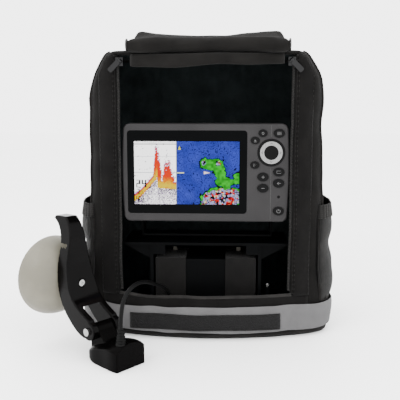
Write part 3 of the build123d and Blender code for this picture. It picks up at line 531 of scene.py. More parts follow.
def case_sheet(name, columns, heights, material, grow=0.0, thickness=0.004, crumple=1.0, offset=-1.0):
    """A patch of the case between two columns and along given heights, with real thickness."""
    vertices = [case_point(c, z, grow, crumple) for z in heights for c in columns]
    piece = new_object(name, vertices, grid_faces(len(heights), len(columns)), material)
    add_modifier(piece, "SOLIDIFY", thickness=thickness, offset=offset, use_even_offset=True)
    return piece


def steps(low, high, spacing):
    count = max(2, int(round((high - low) / spacing)) + 1)
    return [low + (high - low) * i / (count - 1) for i in range(count)]


# ---------------------------------------------------------------- soft case pieces


def front_point(x, z, grow=0.0, crumple=1.0):
    """A point of the bowed front, by x and height."""
    p = Vector((x, -FRONT + edge_inset(z) + bow_y(x), z))
    normal = Vector((x / BOW, -1, 0)).normalized()
    return p + normal * (grow + crumple * 0.35 * softness(p))


def strip(name, points_of, us, vs, material, thickness, offset=-1.0):
    """A solid sheet from a function of (u, v)."""
    vertices = [points_of(u, v) for v in vs for u in us]
    piece = new_object(name, vertices, grid_faces(len(vs), len(us)), material)
    add_modifier(piece, "SOLIDIFY", thickness=thickness, offset=offset, use_even_offset=True)
    return piece


def finish_piece(piece, body, *nodes, slot=None):
    if nodes:
        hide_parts(*nodes)
    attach(piece, body)
    return piece


LAST = HALF_COUNT - 1
WALL_HEIGHTS = steps(0.001, 0.396, 0.009)
WALL_HEIGHTS += [0.396 + 0.022 * math.sin(a * math.pi / 18) for a in range(1, 10)]
HEADER_ROW = min(range(len(WALL_HEIGHTS)), key=lambda i: abs(WALL_HEIGHTS[i] - OPENING_HIGH))
WALL_HEIGHTS[HEADER_ROW] = OPENING_HIGH


def wall_mesh(name, grow, material, thickness, crumple):
    columns = list(range(-LAST, LAST + 1))
    vertices = [case_point(c, z, grow, crumple) for z in WALL_HEIGHTS for c in columns]
    width = len(columns)
    faces = []
    for r in range(len(WALL_HEIGHTS) - 1):
        for i in range(width - 1):
            inside_front = -PANEL_COLUMNS <= columns[i] and columns[i + 1] <= PANEL_COLUMNS
            if inside_front and r < HEADER_ROW:
                continue
            faces.append((r * width + i, r * width + i + 1, (r + 1) * width + i + 1, (r + 1) * width + i))
    # the top: rows of cloth from side to side
    top = CASE_HEIGHT + grow
    across = 2 * COLUMNS["rear"]
    rows = LAST - COLUMNS["rear"] + 1
    base = len(vertices)
    last_row = (len(WALL_HEIGHTS) - 1) * width
    for c in range(rows):
        left = vertices[last_row + LAST - c]
        right = vertices[last_row + LAST + c]
        for j in range(across + 1):
            p = left.lerp(right, j / across)
            edge = min(j, across - j, c + 1, rows - c) / 4
            swell = ripple(p, 14, 0.0042, 5.2) + ripple(p, 40, 0.0018, 2.2) - 0.0012
            p.z = top + min(1.0, edge) * crumple * swell
            vertices.append(p)
    for c in range(rows - 1):
        for j in range(across):
            a = base + c * (across + 1) + j
            faces.append((a, a + 1, a + across + 2, a + across + 1))
    piece = new_object(name, vertices, faces, material)
    mesh = bmesh.new()
    mesh.from_mesh(piece.data)
    bmesh.ops.remove_doubles(mesh, verts=mesh.verts, dist=0.0002)
    bmesh.ops.dissolve_degenerate(mesh, dist=0.0001, edges=mesh.edges)
    bmesh.ops.recalc_face_normals(mesh, faces=mesh.faces)
    mesh.to_mesh(piece.data)
    mesh.free()
    piece.data.polygons.foreach_set("use_smooth", [True] * len(piece.data.polygons))
    if thickness:
        add_modifier(piece, "SOLIDIFY", thickness=thickness, offset=-1.0)
    return piece


finish_piece(wall_mesh("case_cloth", 0.0, case_cloth, 0.0034, 1.0), "case", "case_body", slot="case_fabric")
finish_piece(wall_mesh("case_lining", -0.0046, lining_cloth, 0.0, 1.0), "case", slot="case_fabric")


def lip_point(u, v):
    z = 0.004 + (OPENING_LOW - 0.004) * v
    sag = 0.0022 * math.sin(v * math.pi) + ripple((u, 0.3, z), 24, 0.0020, 4.4)
    top = (0.0008 * math.sin(u * 31) + ripple((u, 0, 0), 18, 0.0016, 9.1)) * v ** 3
    p = front_point(u, z, 0.0006 + sag)
    return p + Vector((0, 0, top))


lip = strip("front_lip_cloth", lip_point, steps(-PANEL_OUTER, PANEL_OUTER, 0.005), steps(0, 1, 0.06),
            panel_cloth, 0.0045)
finish_piece(lip, "case", "front_lip", slot="case_fabric")
binding_path = [lip_point(x, 1.0) + Vector((0, 0.002, 0.0))
                for x in steps(-OPENING_HALF, OPENING_HALF, 0.006)]
binding = new_object("lip_binding", *tube_points(binding_path, 0.0030, 10, 0.8), webbing)
finish_piece(binding, "case", slot="case_fabric")


def panel_point_of(sign):
    def point(u, v):
        z = OPENING_LOW - 0.001 + (OPENING_HIGH - OPENING_LOW + 0.002) * v
        outer = min(PANEL_OUTER, half_width(z) - 0.011)
        x = sign * (OPENING_HALF + (outer - OPENING_HALF + 0.002) * u)
        puff = 0.0022 * math.sin(math.pi * min(1.0, max(0.0, (u - 0.12) / 0.88))) ** 0.6
        dent = -0.0012 * math.exp(-((u - 0.13) / 0.03) ** 2)
        return front_point(x, z, puff + dent, 1.5)
    return point


def stitch_run(name, points, length=0.0030, pitch=0.0046, radius=0.00042):
    """Dashes of thread lying along a list of points."""
    shapes = []
    gone = 0.0
    for a, b in zip(points, points[1:]):
        run = (b - a).length
        while gone + length < run:
            p = a.lerp(b, gone / run)
            q = a.lerp(b, (gone + length) / run)
            shapes.append(tube_points([p, p.lerp(q, 0.5) + Vector((0, -0.0002, 0)), q], radius, 5))
            gone += pitch
        gone = max(0.0, gone - run)
    return new_object(name, *join_shapes(shapes), thread_cloth)


for side, sign in (("left", -1), ("right", 1)):
    point = panel_point_of(sign)
    panel = strip(f"side_panel_{side}", point, steps(0, 1, 0.04), steps(0, 1, 0.02), panel_cloth, 0.0045,
                  offset=-sign * 1.0)
    finish_piece(panel, "case", f"front_panel_{side}", slot="case_fabric")
    for index, u in enumerate((0.10, 0.17, 0.93)):
        line = [point(u, v) + Vector((0, -0.0003, 0)) for v in steps(0.005, 0.995, 0.01)]
        finish_piece(stitch_run(f"panel_stitches_{side}_{index}", line), "case", slot="case_fabric")
    seam_column = sign * (PANEL_COLUMNS + COLUMNS["shoulder"] + 5)
    seam = [case_point(seam_column, z, 0.0006) for z in WALL_HEIGHTS[2:-2]]
    finish_piece(new_object(f"corner_piping_{side}", *tube_points(seam, 0.0019, 8), piping_cloth), "case",
                 slot="case_fabric")
    for index, shift in enumerate((-1, 1)):
        line = [case_point(seam_column + shift, z, 0.0004) for z in WALL_HEIGHTS[4:-3]]
        finish_piece(stitch_run(f"corner_stitches_{side}_{index}", line), "case", slot="case_fabric")

    # zip: tape with a coil of teeth along its free edge
    def tape_point(u, v):
        z = 0.070 + 0.3385 * v
        x = sign * (0.1225 + 0.0075 * u)
        return front_point(x, z, -0.0024 + 0.0003 * math.sin(v * 160), 1.5)
    tape = strip(f"zip_tape_{side}", tape_point, steps(0, 1, 0.25), steps(0, 1, 0.012), zip_tape, 0.0009,
                 offset=-sign * 1.0)
    finish_piece(tape, "case", f"zip_{side}", slot="zip_coil")
    coil = []
    turns = 150
    for i in range(turns * 8):
        a = TAU * i / 8
        middle = front_point(sign * 0.1236, 0.0715 + 0.3355 * i / (turns * 8), -0.0012, 1.5)
        coil.append(middle + Vector((math.cos(a) * 0.0015, math.sin(a) * 0.0009, 0)))
    teeth = new_object(f"zip_teeth_{side}", *tube_points(coil, 0.00042, 5), zip_coil)
    finish_piece(teeth, "case", slot="zip_coil")


def ring_sheet(name, low, high, grow, material, thickness, wave, columns):
    """A band of cloth round the case whose edges wander a little."""
    count = 9
    vertices = []
    for r in range(count):
        for c in columns:
            t = r / (count - 1)
            p = case_point(c, 0.03)
            shift = (ripple((p.x, p.y, 0.0), 13, wave, 6.0 + 3 * t)
                     + ripple((p.x, p.y, 1.0), 34, wave * 0.45, 8.0))
            z = low + (high - low) * t + shift
            vertices.append(case_point(c, z, grow + 0.0014 + 0.0006 * math.sin(t * math.pi)))
    piece = new_object(name, vertices, grid_faces(count, len(columns)), material)
    add_modifier(piece, "SOLIDIFY", thickness=thickness, offset=-1.0)
    add_modifier(piece, "SUBSURF", levels=1, render_levels=1)
    return piece


ALL_COLUMNS = list(range(-LAST, LAST + 1))
band = ring_sheet("grey_band", 0.0115, 0.0505, 0.0034, grey_cloth, 0.0012, 0.0034, ALL_COLUMNS)
finish_piece(band, "case", "base_band", slot="grey_fabric")


def hook_point(u, v):
    x = -0.109 + 0.218 * u
    z = 0.0165 + 0.0235 * v + ripple((x, 0, 0), 13, 0.0026, 6.0)
    return front_point(x, z, 0.0072 + ripple((x, 0, z), 30, 0.0006, 2.0))


hooks = strip("hook_tape", hook_point, steps(0, 1, 0.02), steps(0, 1, 0.1), hook_tape, 0.0018)
finish_piece(hooks, "case", "hook_strip", slot="hook_tape")
for index, v in enumerate((0.06, 0.94)):
    line = [hook_point(u, v) + Vector((0, -0.0002, 0)) for u in steps(0.02, 0.98, 0.04)]
    finish_piece(stitch_run(f"hook_stitches_{index}", line), "case", slot="hook_tape")

base = case_sheet("base_cloth", ALL_COLUMNS, [0.0005, 0.004, 0.008, 0.0125], piping_cloth, 0.0006, 0.003, 0.6)
foot_line = [case_point(c, 0.0005) for c in ALL_COLUMNS]
finish_piece(base, "case", slot="case_fabric")
under_rings = (1.0, 0.5, 0.02)
under_points = [Vector((p.x * s, p.y * s, 0.0008)) for s in under_rings for p in foot_line]
under = new_object("base_underside", under_points, grid_faces(len(under_rings), len(foot_line)), piping_cloth)
add_modifier(under, "SOLIDIFY", thickness=0.003, offset=1.0)
finish_piece(under, "case", "base_panel", slot="case_fabric")


# the door: a flattened roll on top and a fold in front of the header
ROLL_SHIFT = 0.0045


def roll_outline(t, x):
    """The roll's outline in (y, z) at t from 0 to 1, counter-clockwise from the front's lowest point."""
    corner_lift = 0.0098 * min(1.0, (abs(x) / 0.100) ** 2.2)
    front, rear = Vector((-0.1060, 0.4232)), Vector((-0.0500, 0.4265))
    front_r, rear_r = 0.0096, 0.0090
    a = TAU * t - math.pi / 2
    direction = Vector((-math.cos(a), math.sin(a)))
    blend = min(1.0, max(0.0, (direction.x + 0.55) / 1.1))
    ease = blend * blend * (3 - 2 * blend)
    corner = (front + direction * front_r).lerp(rear + direction * rear_r, ease)
    if direction.y > 0:
        hump = math.exp(-((corner.x + 0.056) / 0.017) ** 2)
        edge = 1 / (1 + math.exp((abs(x) - 0.1055) / 0.0014))
        valley = math.exp(-((corner.x + 0.086) / 0.010) ** 2)
        corner.y += hump * (0.0042 + corner_lift) * edge - 0.0036 * valley
    return corner


def roll_point(x, t, scale=1.0):
    c = roll_outline(t, x - ROLL_SHIFT)
    middle = Vector((-0.080, 0.4245))
    c = middle + (c - middle) * scale
    p = Vector((x, c.x, c.y))
    out = Vector((0, c.x - middle.x, c.y - middle.y)).normalized()
    wrinkle = ripple((x * 0.9, c.x, c.y), 34, 0.0034, 2.7) + ripple((x * 0.4, c.x, c.y), 95, 0.0018, 6.1)
    end = max(0.0, (abs(x - ROLL_SHIFT) - 0.090) / 0.022)
    p += out * wrinkle * scale * (1 - 0.4 * end)
    p.z += 0.0010 * math.sin(x * 26 + 0.6) * max(0.0, out.z)
    return p


def rolled_mesh():
    around = 56
    xs = steps(ROLL_SHIFT - 0.1085, ROLL_SHIFT + 0.1085, 0.0032)
    vertices = []
    # each end rounds off: how far out a ring lies, and its share of the full outline
    ends = [(0.0030, 0.05), (0.0026, 0.30), (0.0034, 0.50), (0.0034, 0.68), (0.0028, 0.82), (0.0019, 0.92),
            (0.0009, 0.975)]
    left = [(xs[0] - out, s) for out, s in ends]
    right = [(xs[-1] + out, s) for out, s in reversed(ends)]
    for x, s in left + [(x, 1.0) for x in xs] + right:
        vertices += [roll_point(x, t / around, s) for t in range(around)]
    count = len(left) + len(xs) + len(right)
    return vertices, closed_faces(count, around)


FOLD_SHIFT, FOLD_HALF, FOLD_HEIGHT = 0.0030, 0.1070, 0.4035


def fold_mesh():
    around = 32
    xs = steps(FOLD_SHIFT - FOLD_HALF, FOLD_SHIFT + FOLD_HALF, 0.0030)
    vertices = []
    for x in xs:
        end = min(1.0, (FOLD_HALF - abs(x - FOLD_SHIFT)) / 0.010)
        fat = 0.45 + 0.55 * math.sqrt(max(0.0, 1 - (1 - end) ** 2))
        droop = 0.0018 * math.sin(x * 21) + ripple((x, 0, 0), 20, 0.0030, 3.3)
        for k in range(around):
            a = TAU * k / around
            y = math.copysign(abs(math.cos(a)) ** 0.75, math.cos(a)) * 0.0070 * fat
            z = math.copysign(abs(math.sin(a)) ** 0.75, math.sin(a)) * 0.0085 * (0.8 + 0.2 * fat)
            base_y = -FRONT + bow_y(x) - 0.0062
            wrinkle = ripple((x * 1.2, y * 2, z), 45, 0.0024, 5.5)
            height = FOLD_HEIGHT + z + (droop if z < 0 else 0.3 * droop)
            vertices.append(Vector((x, base_y + y * (1 + wrinkle * 40), height)))
    return vertices, closed_faces(len(xs), around)


def settle(piece, cell, pressure, cap, growth=0.0):
    """Puffs a padded piece by cloth simulation, each point held near its place, then applies the result."""
    add_modifier(piece, "REMESH", mode="VOXEL", voxel_size=cell, use_smooth_shade=True)
    bake_modifiers(piece)
    before = [v.co.copy() for v in piece.data.vertices]
    cloth = piece.modifiers.new("cloth", "CLOTH")
    cloth.settings.use_pressure = True
    cloth.settings.uniform_pressure_force = pressure
    cloth.settings.effector_weights.gravity = 0
    cloth.settings.shrink_min = -growth
    cloth.settings.bending_stiffness = 0.05
    cloth.point_cache.frame_start = 1
    cloth.point_cache.frame_end = 20
    scene = bpy.context.scene
    for frame in range(1, 21):
        scene.frame_set(frame)
    moved = piece.evaluated_get(bpy.context.evaluated_depsgraph_get()).data
    after = [v.co.copy() for v in moved.vertices]
    piece.modifiers.remove(cloth)
    scene.frame_set(1)
    for vertex, old, new in zip(piece.data.vertices, before, after):
        shift = new - old
        if shift.length > cap:
            shift *= cap / shift.length
        vertex.co = old + shift
    add_modifier(piece, "SUBSURF", levels=1, render_levels=1)
    bake_modifiers(piece)


roll = new_object("rolled_up_door", *rolled_mesh(), door_cloth)
settle(roll, cell=0.0045, pressure=4, cap=0.0016, growth=0.04)
finish_piece(roll, "case", "rolled_door", slot="door_fabric")
for side, x in (("left", ROLL_SHIFT - 0.1118), ("right", ROLL_SHIFT + 0.1118)):
    # the door's zip tape shows at the roll's ends as a curl
    curl = []
    for i in range(100):
        a = TAU * i / 34
        r = 0.0088 - 0.0022 * i / 34
        curl.append(Vector((x, -0.1052 + r * math.cos(a), 0.4226 + r * math.sin(a))))
    finish_piece(new_object(f"roll_end_tape_{side}", *tube_points(curl, 0.0013, 6, 1.0), zip_coil), "case",
                 slot="door_fabric")
fold = new_object("door_front_fold", *fold_mesh(), door_cloth)
finish_piece(fold, "case", slot="door_fabric")

# side pockets: gathered mesh with an elastic top
POCKET_LOW, POCKET_HIGH = 0.052, 0.197
POCKET_START, POCKET_COLUMNS = PANEL_COLUMNS + COLUMNS["shoulder"] + 3, 25


def pocket_depth(u, v):
    profile = 0.0150 * math.sin(min(1.0, v / 0.30) * math.pi / 2)
    profile -= 0.0060 * math.exp(-((v - 0.56) / 0.11) ** 2)
    profile -= 0.0040 * max(0.0, (v - 0.80) / 0.20)
    return 0.0016 + max(0.0, profile) * math.sin(math.pi * min(1.0, max(0.0, u))) ** 0.45


def pocket_point_of(sign, grow=0.0, gather=0.0):
    def point(u, v):
        z = POCKET_LOW + (POCKET_HIGH - POCKET_LOW) * v
        place = POCKET_START + POCKET_COLUMNS * min(1.0, max(0.0, u))
        first = min(int(place), POCKET_START + POCKET_COLUMNS - 1)
        depth = pocket_depth(u, v) + grow + gather * math.sin(u * 150) * 0.5
        near = case_point(sign * first, z, depth, 0.0)
        p = near.lerp(case_point(sign * (first + 1), z, depth, 0.0), place - first)
        return p + Vector((sign * ripple(p, 42, 0.0020, 1.9) * math.sin(math.pi * u), 0, 0))
    return point


for side, sign in (("left", -1), ("right", 1)):
    pocket = strip(f"mesh_pocket_{side}", pocket_point_of(sign), steps(0, 1, 0.025), steps(0, 0.90, 0.025),
                   pocket_mesh, 0.0009, offset=sign * 1.0)
    finish_piece(pocket, "case", f"side_pocket_{side}", slot="mesh_fabric")
    edge = strip(f"pocket_elastic_{side}", pocket_point_of(sign, 0.0008, 0.0012), steps(0, 1, 0.006),
                 steps(0.86, 1.0, 0.02), elastic, 0.0014, offset=sign * 1.0)
    finish_piece(edge, "case", *(["pocket_elastics"] if side == "left" else []), slot="elastic")
    hem = pocket_point_of(sign, 0.0002)
    hem_points = ([hem(0.0, v) for v in steps(0.98, 0.04, 0.04)] + [hem(u, 0.0) for u in steps(0, 1, 0.04)]
                  + [hem(1.0, v) for v in steps(0.04, 0.98, 0.04)])
    hem_tube = tube_points(hem_points, 0.0022, 8, 0.6, side_axis=(1, 0, 0))
    finish_piece(new_object(f"pocket_binding_{side}", *hem_tube, piping_cloth), "case", slot="mesh_fabric")


# straps and handle
def swept_band(name, path, width, thickness, material, bulge=0.0, sides=20):
    """A padded band swept along a path in the YZ plane (or XZ), its width along the given axis."""
    vertices = []
    for i, (p, out, across) in enumerate(path):
        w = width(i / (len(path) - 1)) / 2
        h = thickness(i / (len(path) - 1)) / 2
        for k in range(sides):
            a = TAU * k / sides
            c, s = math.cos(a), math.sin(a)
            x = math.copysign(abs(c) ** 0.35, c) * w
            y = math.copysign(abs(s) ** 0.8, s) * h * (1 + bulge * (1 - (x / w) ** 2))
            vertices.append(p + across * x + out * y)
    return new_object(name, vertices, closed_faces(len(path), sides), material)


def strap_frame(t, inset):
    """A point on the strap's middle line, its outward direction; t from the top to the bottom."""
    chord, bow = 0.310, 0.036 - 0.0052 + inset
    radius = (chord ** 2 / 4 + bow ** 2) / (2 * bow)
    half_angle = math.asin(chord / 2 / radius)
    a = half_angle - 2 * half_angle * t
    out = Vector((0, math.cos(a), math.sin(a)))
    centre = Vector((0, BACK + 0.0012 + bow - radius, 0.235))
    return centre + out * radius, out


for side, sign in (("left", -1), ("right", 1)):
    def strap_path(t0, t1, count, inset=0.0):
        path = []
        for i in range(count):
            t = t0 + (t1 - t0) * i / (count - 1)
            p, out = strap_frame(t, inset)
            lean = sign * (0.062 + 0.006 * math.sin(t * math.pi))
            path.append((Vector((lean, p.y, p.z)), out, Vector((1, 0, 0))))
        return path

    def pad_width(t):
        return 0.060 - 0.022 * max(0.0, t - 0.72) / 0.28

    def pad_thickness(t):
        return 0.0095 * (0.5 + 0.5 * math.sin(math.pi * min(1, max(0, 0.08 + t * 0.84))) ** 0.3)

    pad = swept_band(f"strap_pad_{side}", strap_path(0.03, 0.66, 46), pad_width, pad_thickness,
                     panel_cloth, 0.15)
    settle(pad, cell=0.004, pressure=4, cap=0.0020, growth=0.03)
    finish_piece(pad, "case", f"shoulder_strap_{side}", slot="strap_fabric")
    web = swept_band(f"strap_webbing_{side}", strap_path(0.60, 0.995, 40), lambda t: 0.025, lambda t: 0.0020,
                     webbing)
    finish_piece(web, "case", slot="strap_fabric")
    anchor = swept_band(f"strap_anchor_{side}", strap_path(0.005, 0.10, 12), lambda t: 0.030,
                        lambda t: 0.0044, webbing)
    finish_piece(anchor, "case", slot="strap_fabric")
    # ladder lock
    middle, out = strap_frame(0.68, 0.0)
    down = Vector((0, out.z, -out.y))
    place = Vector((sign * 0.0675, middle.y, middle.z)) + out * 0.002
    bars = []
    for offset, length in ((-0.016, 0.038), (-0.004, 0.034), (0.008, 0.034), (0.018, 0.038)):
        c = place + down * offset
        reach = Vector((length / 2, 0, 0))
        bars.append(tube_points([c - reach, c, c + reach], 0.0022, 10))
    for end in (-1, 1):
        a = place + Vector((end * 0.0175, 0, 0))
        bars.append(tube_points([a + down * -0.018, a, a + down * 0.019], 0.0024, 10))
    lock = new_object(f"ladder_lock_{side}", *join_shapes(bars), bracket_nylon)
    finish_piece(lock, "case", slot="strap_fabric")

# the handle is an arc: half its span, and its rise above the case
handle_path = []
half, rise = 0.0465, 0.0222
radius = (half ** 2 + rise ** 2) / (2 * rise)
reach = math.asin(half / radius)
arc_centre = Vector((0, 0.066, CASE_HEIGHT + 0.0002 + rise - radius))
for i in range(41):
    t = i / 40
    a = -reach + 2 * reach * t
    out = Vector((math.sin(a), 0, math.cos(a)))
    handle_path.append((arc_centre + out * radius, out, Vector((0, 1, 0))))
grip = swept_band("carry_handle", handle_path, lambda t: 0.0235,
                  lambda t: 0.0024 + 0.0012 * math.sin(math.pi * t) ** 4, webbing)
finish_piece(grip, "case", "grab_handle", slot="strap_fabric")

# ---------------------------------------------------------------- head unit details


def display_mesh():
    """The lit picture: a sonar return at the left and a chart at the right, as colours on a fine sheet."""
    wide, high = 288, 172
    left, right, low, top = -0.1032, 0.0492, 0.1981, 0.2898
    u, v = np.meshgrid(np.linspace(0, 1, wide), np.linspace(0, 1, high))
    rng = np.random.default_rng(7)

    def smooth_noise(scale, seed):
        """Value noise with eased interpolation."""
        gen = np.random.default_rng(seed)
        grid = gen.random((int(scale) + 3, int(scale * 1.67) + 3))
        x, y = u * scale * 1.66, v * scale
        i, j = x.astype(int), y.astype(int)
        fx, fy = x - i, y - j
        fx, fy = fx * fx * (3 - 2 * fx), fy * fy * (3 - 2 * fy)
        return ((grid[j, i] * (1 - fx) + grid[j, i + 1] * fx) * (1 - fy)
                + (grid[j + 1, i] * (1 - fx) + grid[j + 1, i + 1] * fx) * fy)

    def blob(cx, cy, rx, ry):
        return np.exp(-(((u - cx) / rx) ** 2 + ((v - cy) / ry) ** 2))

    picture = np.ones((high, wide, 3))
    rough = (smooth_noise(42, 1) - 0.5) * 0.10 + (smooth_noise(85, 2) - 0.5) * 0.10
    # sonar: the bottom rises from the lower left to a ledge, with two tall returns above it
    split = 0.403
    s = u / split
    bottom = np.where(s < 0.5, 0.10 + 0.34 * (s / 0.5) ** 1.25,
                      0.44 - 0.20 * (s - 0.5) / 0.5 + 0.06 * (s > 0.52))
    bottom = np.where(s > 0.55, 0.31 - 0.05 * (s - 0.55), bottom)
    tower = 0.50 * np.exp(-((s - 0.55) / 0.085) ** 4) + 0.34 * np.exp(-((s - 0.77) / 0.10) ** 4)
    tower += 0.16 * np.exp(-((s - 0.90) / 0.08) ** 2)
    height = bottom + tower + rough * 1.8
    depth = (height - v) / 0.07
    strength = np.clip(depth, 0, 1) * np.clip((v - bottom + 0.17) / 0.10, 0, 1)
    strength = np.clip(strength + (smooth_noise(90, 3) - 0.5) * 0.75 * (strength > 0.02), 0, 1)
    strength *= 0.58 + 0.42 * np.clip(1 - (v - bottom) / 0.16, 0, 1)
    core = np.exp(-((v - bottom) / 0.050) ** 4)
    strength = np.maximum(strength, core * (0.93 + rough))
    stops = np.array([0.0, 0.10, 0.24, 0.42, 0.62, 0.85, 1.0])
    reds = np.array([1.0, 0.52, 0.36, 0.80, 0.92, 0.98, 1.0])
    greens = np.array([1.0, 0.36, 0.03, 0.05, 0.25, 0.72, 0.86])
    blues = np.array([1.0, 0.66, 0.38, 0.12, 0.02, 0.02, 0.03])
    sonar = np.stack([np.interp(strength, stops, channel) for channel in (reds, greens, blues)], axis=-1)
    below = (v < bottom - 0.05)
    speckle = rng.random((high, wide))
    fade = np.clip((bottom - 0.05 - v) / 0.25, 0, 1)
    dots = below & (speckle < 0.62 - 0.42 * fade)
    sonar[below] = 1.0
    sonar[dots] = (0.10, 0.05, 0.14)
    some = below & (speckle > 0.86)
    sonar[some] = (0.42, 0.16, 0.55)
    stray = (~below) & (strength < 0.03) & (smooth_noise(60, 5) > 0.93)
    sonar[stray] = (0.18, 0.14, 0.22)
    near = (~below) & (strength < 0.05) & (np.abs(v - height) < 0.07) & (speckle < 0.22)
    sonar[near] = (0.30, 0.12, 0.34)
    for line in (0.505, 0.760):
        sonar[(np.abs(v - line) < 0.004) & (strength < 0.05)] = (0.62, 0.64, 0.66)
    sonar[(np.abs(v - 0.958) < 0.006)] = (0.06, 0.06, 0.07)
    sonar[(v > 0.972) & (speckle < 0.25)] = (0.25, 0.25, 0.27)
    # chart: deep water, contour lines, a green and grey shoal with red and pale patches
    water = smooth_noise(7, 11) * 0.6 + smooth_noise(16, 12) * 0.3 + smooth_noise(40, 13) * 0.1
    chart = np.stack([0.115 + 0.07 * water, 0.145 + 0.09 * water, 0.46 + 0.16 * water], axis=-1)
    contour = np.abs(((water * 11) % 1) - 0.5) < 0.085
    chart[contour] *= 0.45
    marks = (smooth_noise(52, 15) > 0.86) & (smooth_noise(12, 16) > 0.35)
    chart[marks] = (0.02, 0.03, 0.10)
    shoal = blob(0.665, 0.655, 0.06, 0.10) + blob(0.795, 0.64, 0.065, 0.12) + blob(0.735, 0.62, 0.06, 0.06)
    shoal += blob(0.825, 0.47, 0.06, 0.14) + blob(0.88, 0.34, 0.10, 0.07) + blob(0.985, 0.45, 0.05, 0.10)
    land = blob(0.80, 0.12, 0.15, 0.17) + blob(0.93, 0.10, 0.14, 0.18) + blob(0.72, 0.04, 0.09, 0.12)
    shape = (np.maximum(shoal, land) + (smooth_noise(24, 17) - 0.5) * 0.36
             + (smooth_noise(60, 18) - 0.5) * 0.18)
    green = shape > 0.56
    chart[green] = np.array([0.10, 0.50, 0.10]) * (0.7 + 0.6 * smooth_noise(30, 19)[green])[:, None]
    grey = (land + (smooth_noise(26, 20) - 0.5) * 0.5 > 0.82) | (
        blob(0.665, 0.665, 0.035, 0.06) + blob(0.80, 0.66, 0.04, 0.075)
        + (smooth_noise(34, 21) - 0.5) * 0.5 > 0.72)
    chart[grey] = np.array([0.42, 0.42, 0.58]) * (0.75 + 0.5 * smooth_noise(36, 22)[grey])[:, None]
    chart[grey & (smooth_noise(30, 23) > 0.66)] = (0.72, 0.07, 0.06)
    chart[grey & (smooth_noise(44, 24) > 0.80)] = (0.75, 0.72, 0.50)
    rim = (np.abs(shape - 0.56) < 0.06) | (grey & (np.abs(smooth_noise(28, 25) - 0.5) < 0.09))
    chart[rim] = (0.01, 0.02, 0.02)
    arrow = (np.abs(v - 0.503) < 0.008) & (u > split) & (u < 0.475)
    chart[arrow] = (0.70, 0.72, 0.55)
    boat = (np.abs(u - 0.695) < 0.030) & (np.abs(v - 0.505) < 0.022 * (1 - (u - 0.665) / 0.062))
    chart[boat] = (0.80, 0.72, 0.70)
    north = (np.abs(u - 0.432) < 0.012 * (1 - (v - 0.87) / 0.06)) & (v > 0.87) & (v < 0.93)
    chart[north] = (0.80, 0.80, 0.20)
    picture = np.where((u < split)[..., None], sonar, chart)
    picture[(np.abs(u - split) < 0.0025)] = (0.35, 0.38, 0.45)

    def segment(x0, x1, y0, y1):
        picture[(u > x0) & (u < x1) & (v > y0) & (v < y1)] = (0.015, 0.015, 0.02)

    def digit(x, y, w, h, lit):
        """One seven-bar digit, with the bars that are lit."""
        t = w * 0.30
        bars = {"top": (x, x + w, y + h - t, y + h), "mid": (x, x + w, y + h / 2 - t / 2, y + h / 2 + t / 2),
                "low": (x, x + w, y, y + t), "lt": (x, x + t, y + h / 2, y + h),
                "rt": (x + w - t, x + w, y + h / 2, y + h),
                "lb": (x, x + t, y, y + h / 2), "rb": (x + w - t, x + w, y, y + h / 2)}
        for name in lit:
            segment(*bars[name])

    two = ("top", "rt", "mid", "lb", "low")
    four = ("lt", "rt", "mid", "rb")
    three = ("top", "rt", "mid", "rb", "low")
    zero = ("top", "rt", "rb", "low", "lb", "lt")
    digit(0.014, 0.265, 0.044, 0.125, two)
    digit(0.068, 0.265, 0.044, 0.125, four)
    digit(0.020, 0.155, 0.026, 0.085, three)
    digit(0.056, 0.155, 0.020, 0.060, zero)
    digit(0.014, 0.030, 0.032, 0.098, four)
    digit(0.055, 0.030, 0.032, 0.098, three)
    x = left + (right - left) * u
    z = low + (top - low) * v
    vertices = np.stack([x, np.full_like(x, -0.07835), z], axis=-1).reshape(-1, 3)
    piece = new_object("display_picture", vertices.tolist(), grid_faces(high, wide), bezel_plastic,
                       smooth=False)
    layer = piece.data.color_attributes.new("picture", "FLOAT_COLOR", "POINT")
    picture = picture ** 2.0 * (1 - 0.55 * (picture.max(-1) - picture.min(-1)))[..., None]
    colours = np.concatenate([picture.reshape(-1, 3), np.ones((high * wide, 1))], axis=1)
    layer.data.foreach_set("color", colours.astype(np.float32).ravel())
    m = Nodes("lit_display", (0, 0, 0), 0.12, Specular_IOR_Level=0.02, Emission_Strength=2.6)
    attribute = m.add("ShaderNodeVertexColor", layer_name="picture")
    m.link(attribute.outputs["Color"], m.shader.inputs["Emission Color"])
    dots = m.noise(2600, 1)
    m.bump(dots, 0.05, 0.00002)
    piece.data.materials.clear()
    piece.data.materials.append(m.material)
    return piece


finish_piece(display_mesh(), "head_unit", slot="display")

# the bezel's seam beside the keys, in two runs
seam_material = plastic_material("seam_shadow", (0.02, 0.02, 0.02), 0.6)
for index, (z0, z1) in enumerate(((0.1745, 0.2520), (0.2955, 0.3135))):
    path = [Vector((0.0946, -0.07838, z)) for z in steps(z0, z1, 0.006)]
    seam = new_object(f"bezel_seam_{index}", *tube_points(path, 0.00042, 6), seam_material)
    finish_piece(seam, "head_unit",
                 slot="bezel_plastic")

# pictograms on the keys: plus, minus, a power ring, bars and arrows, all generic
KEY_FRONT = -0.0784 - 0.0018


def flat_line(points, width=0.0005):
    return tube_points([Vector(p) for p in points], width, 6, 0.5)


def key_sign(name, key, shapes, material=key_mark):
    finish_piece(new_object(name, *join_shapes(shapes), material), key, slot="key_rubber")


def at_key(x, z, dx, dz):
    return (x + dx * 0.001, KEY_FRONT - 0.00002, z + dz * 0.001)


def circle_line(x, z, radius, start=0.0, end=TAU, count=20):
    angles = [start + (end - start) * i / count for i in range(count + 1)]
    return flat_line([at_key(x, z, radius * math.sin(a), radius * math.cos(a)) for a in angles], 0.0004)


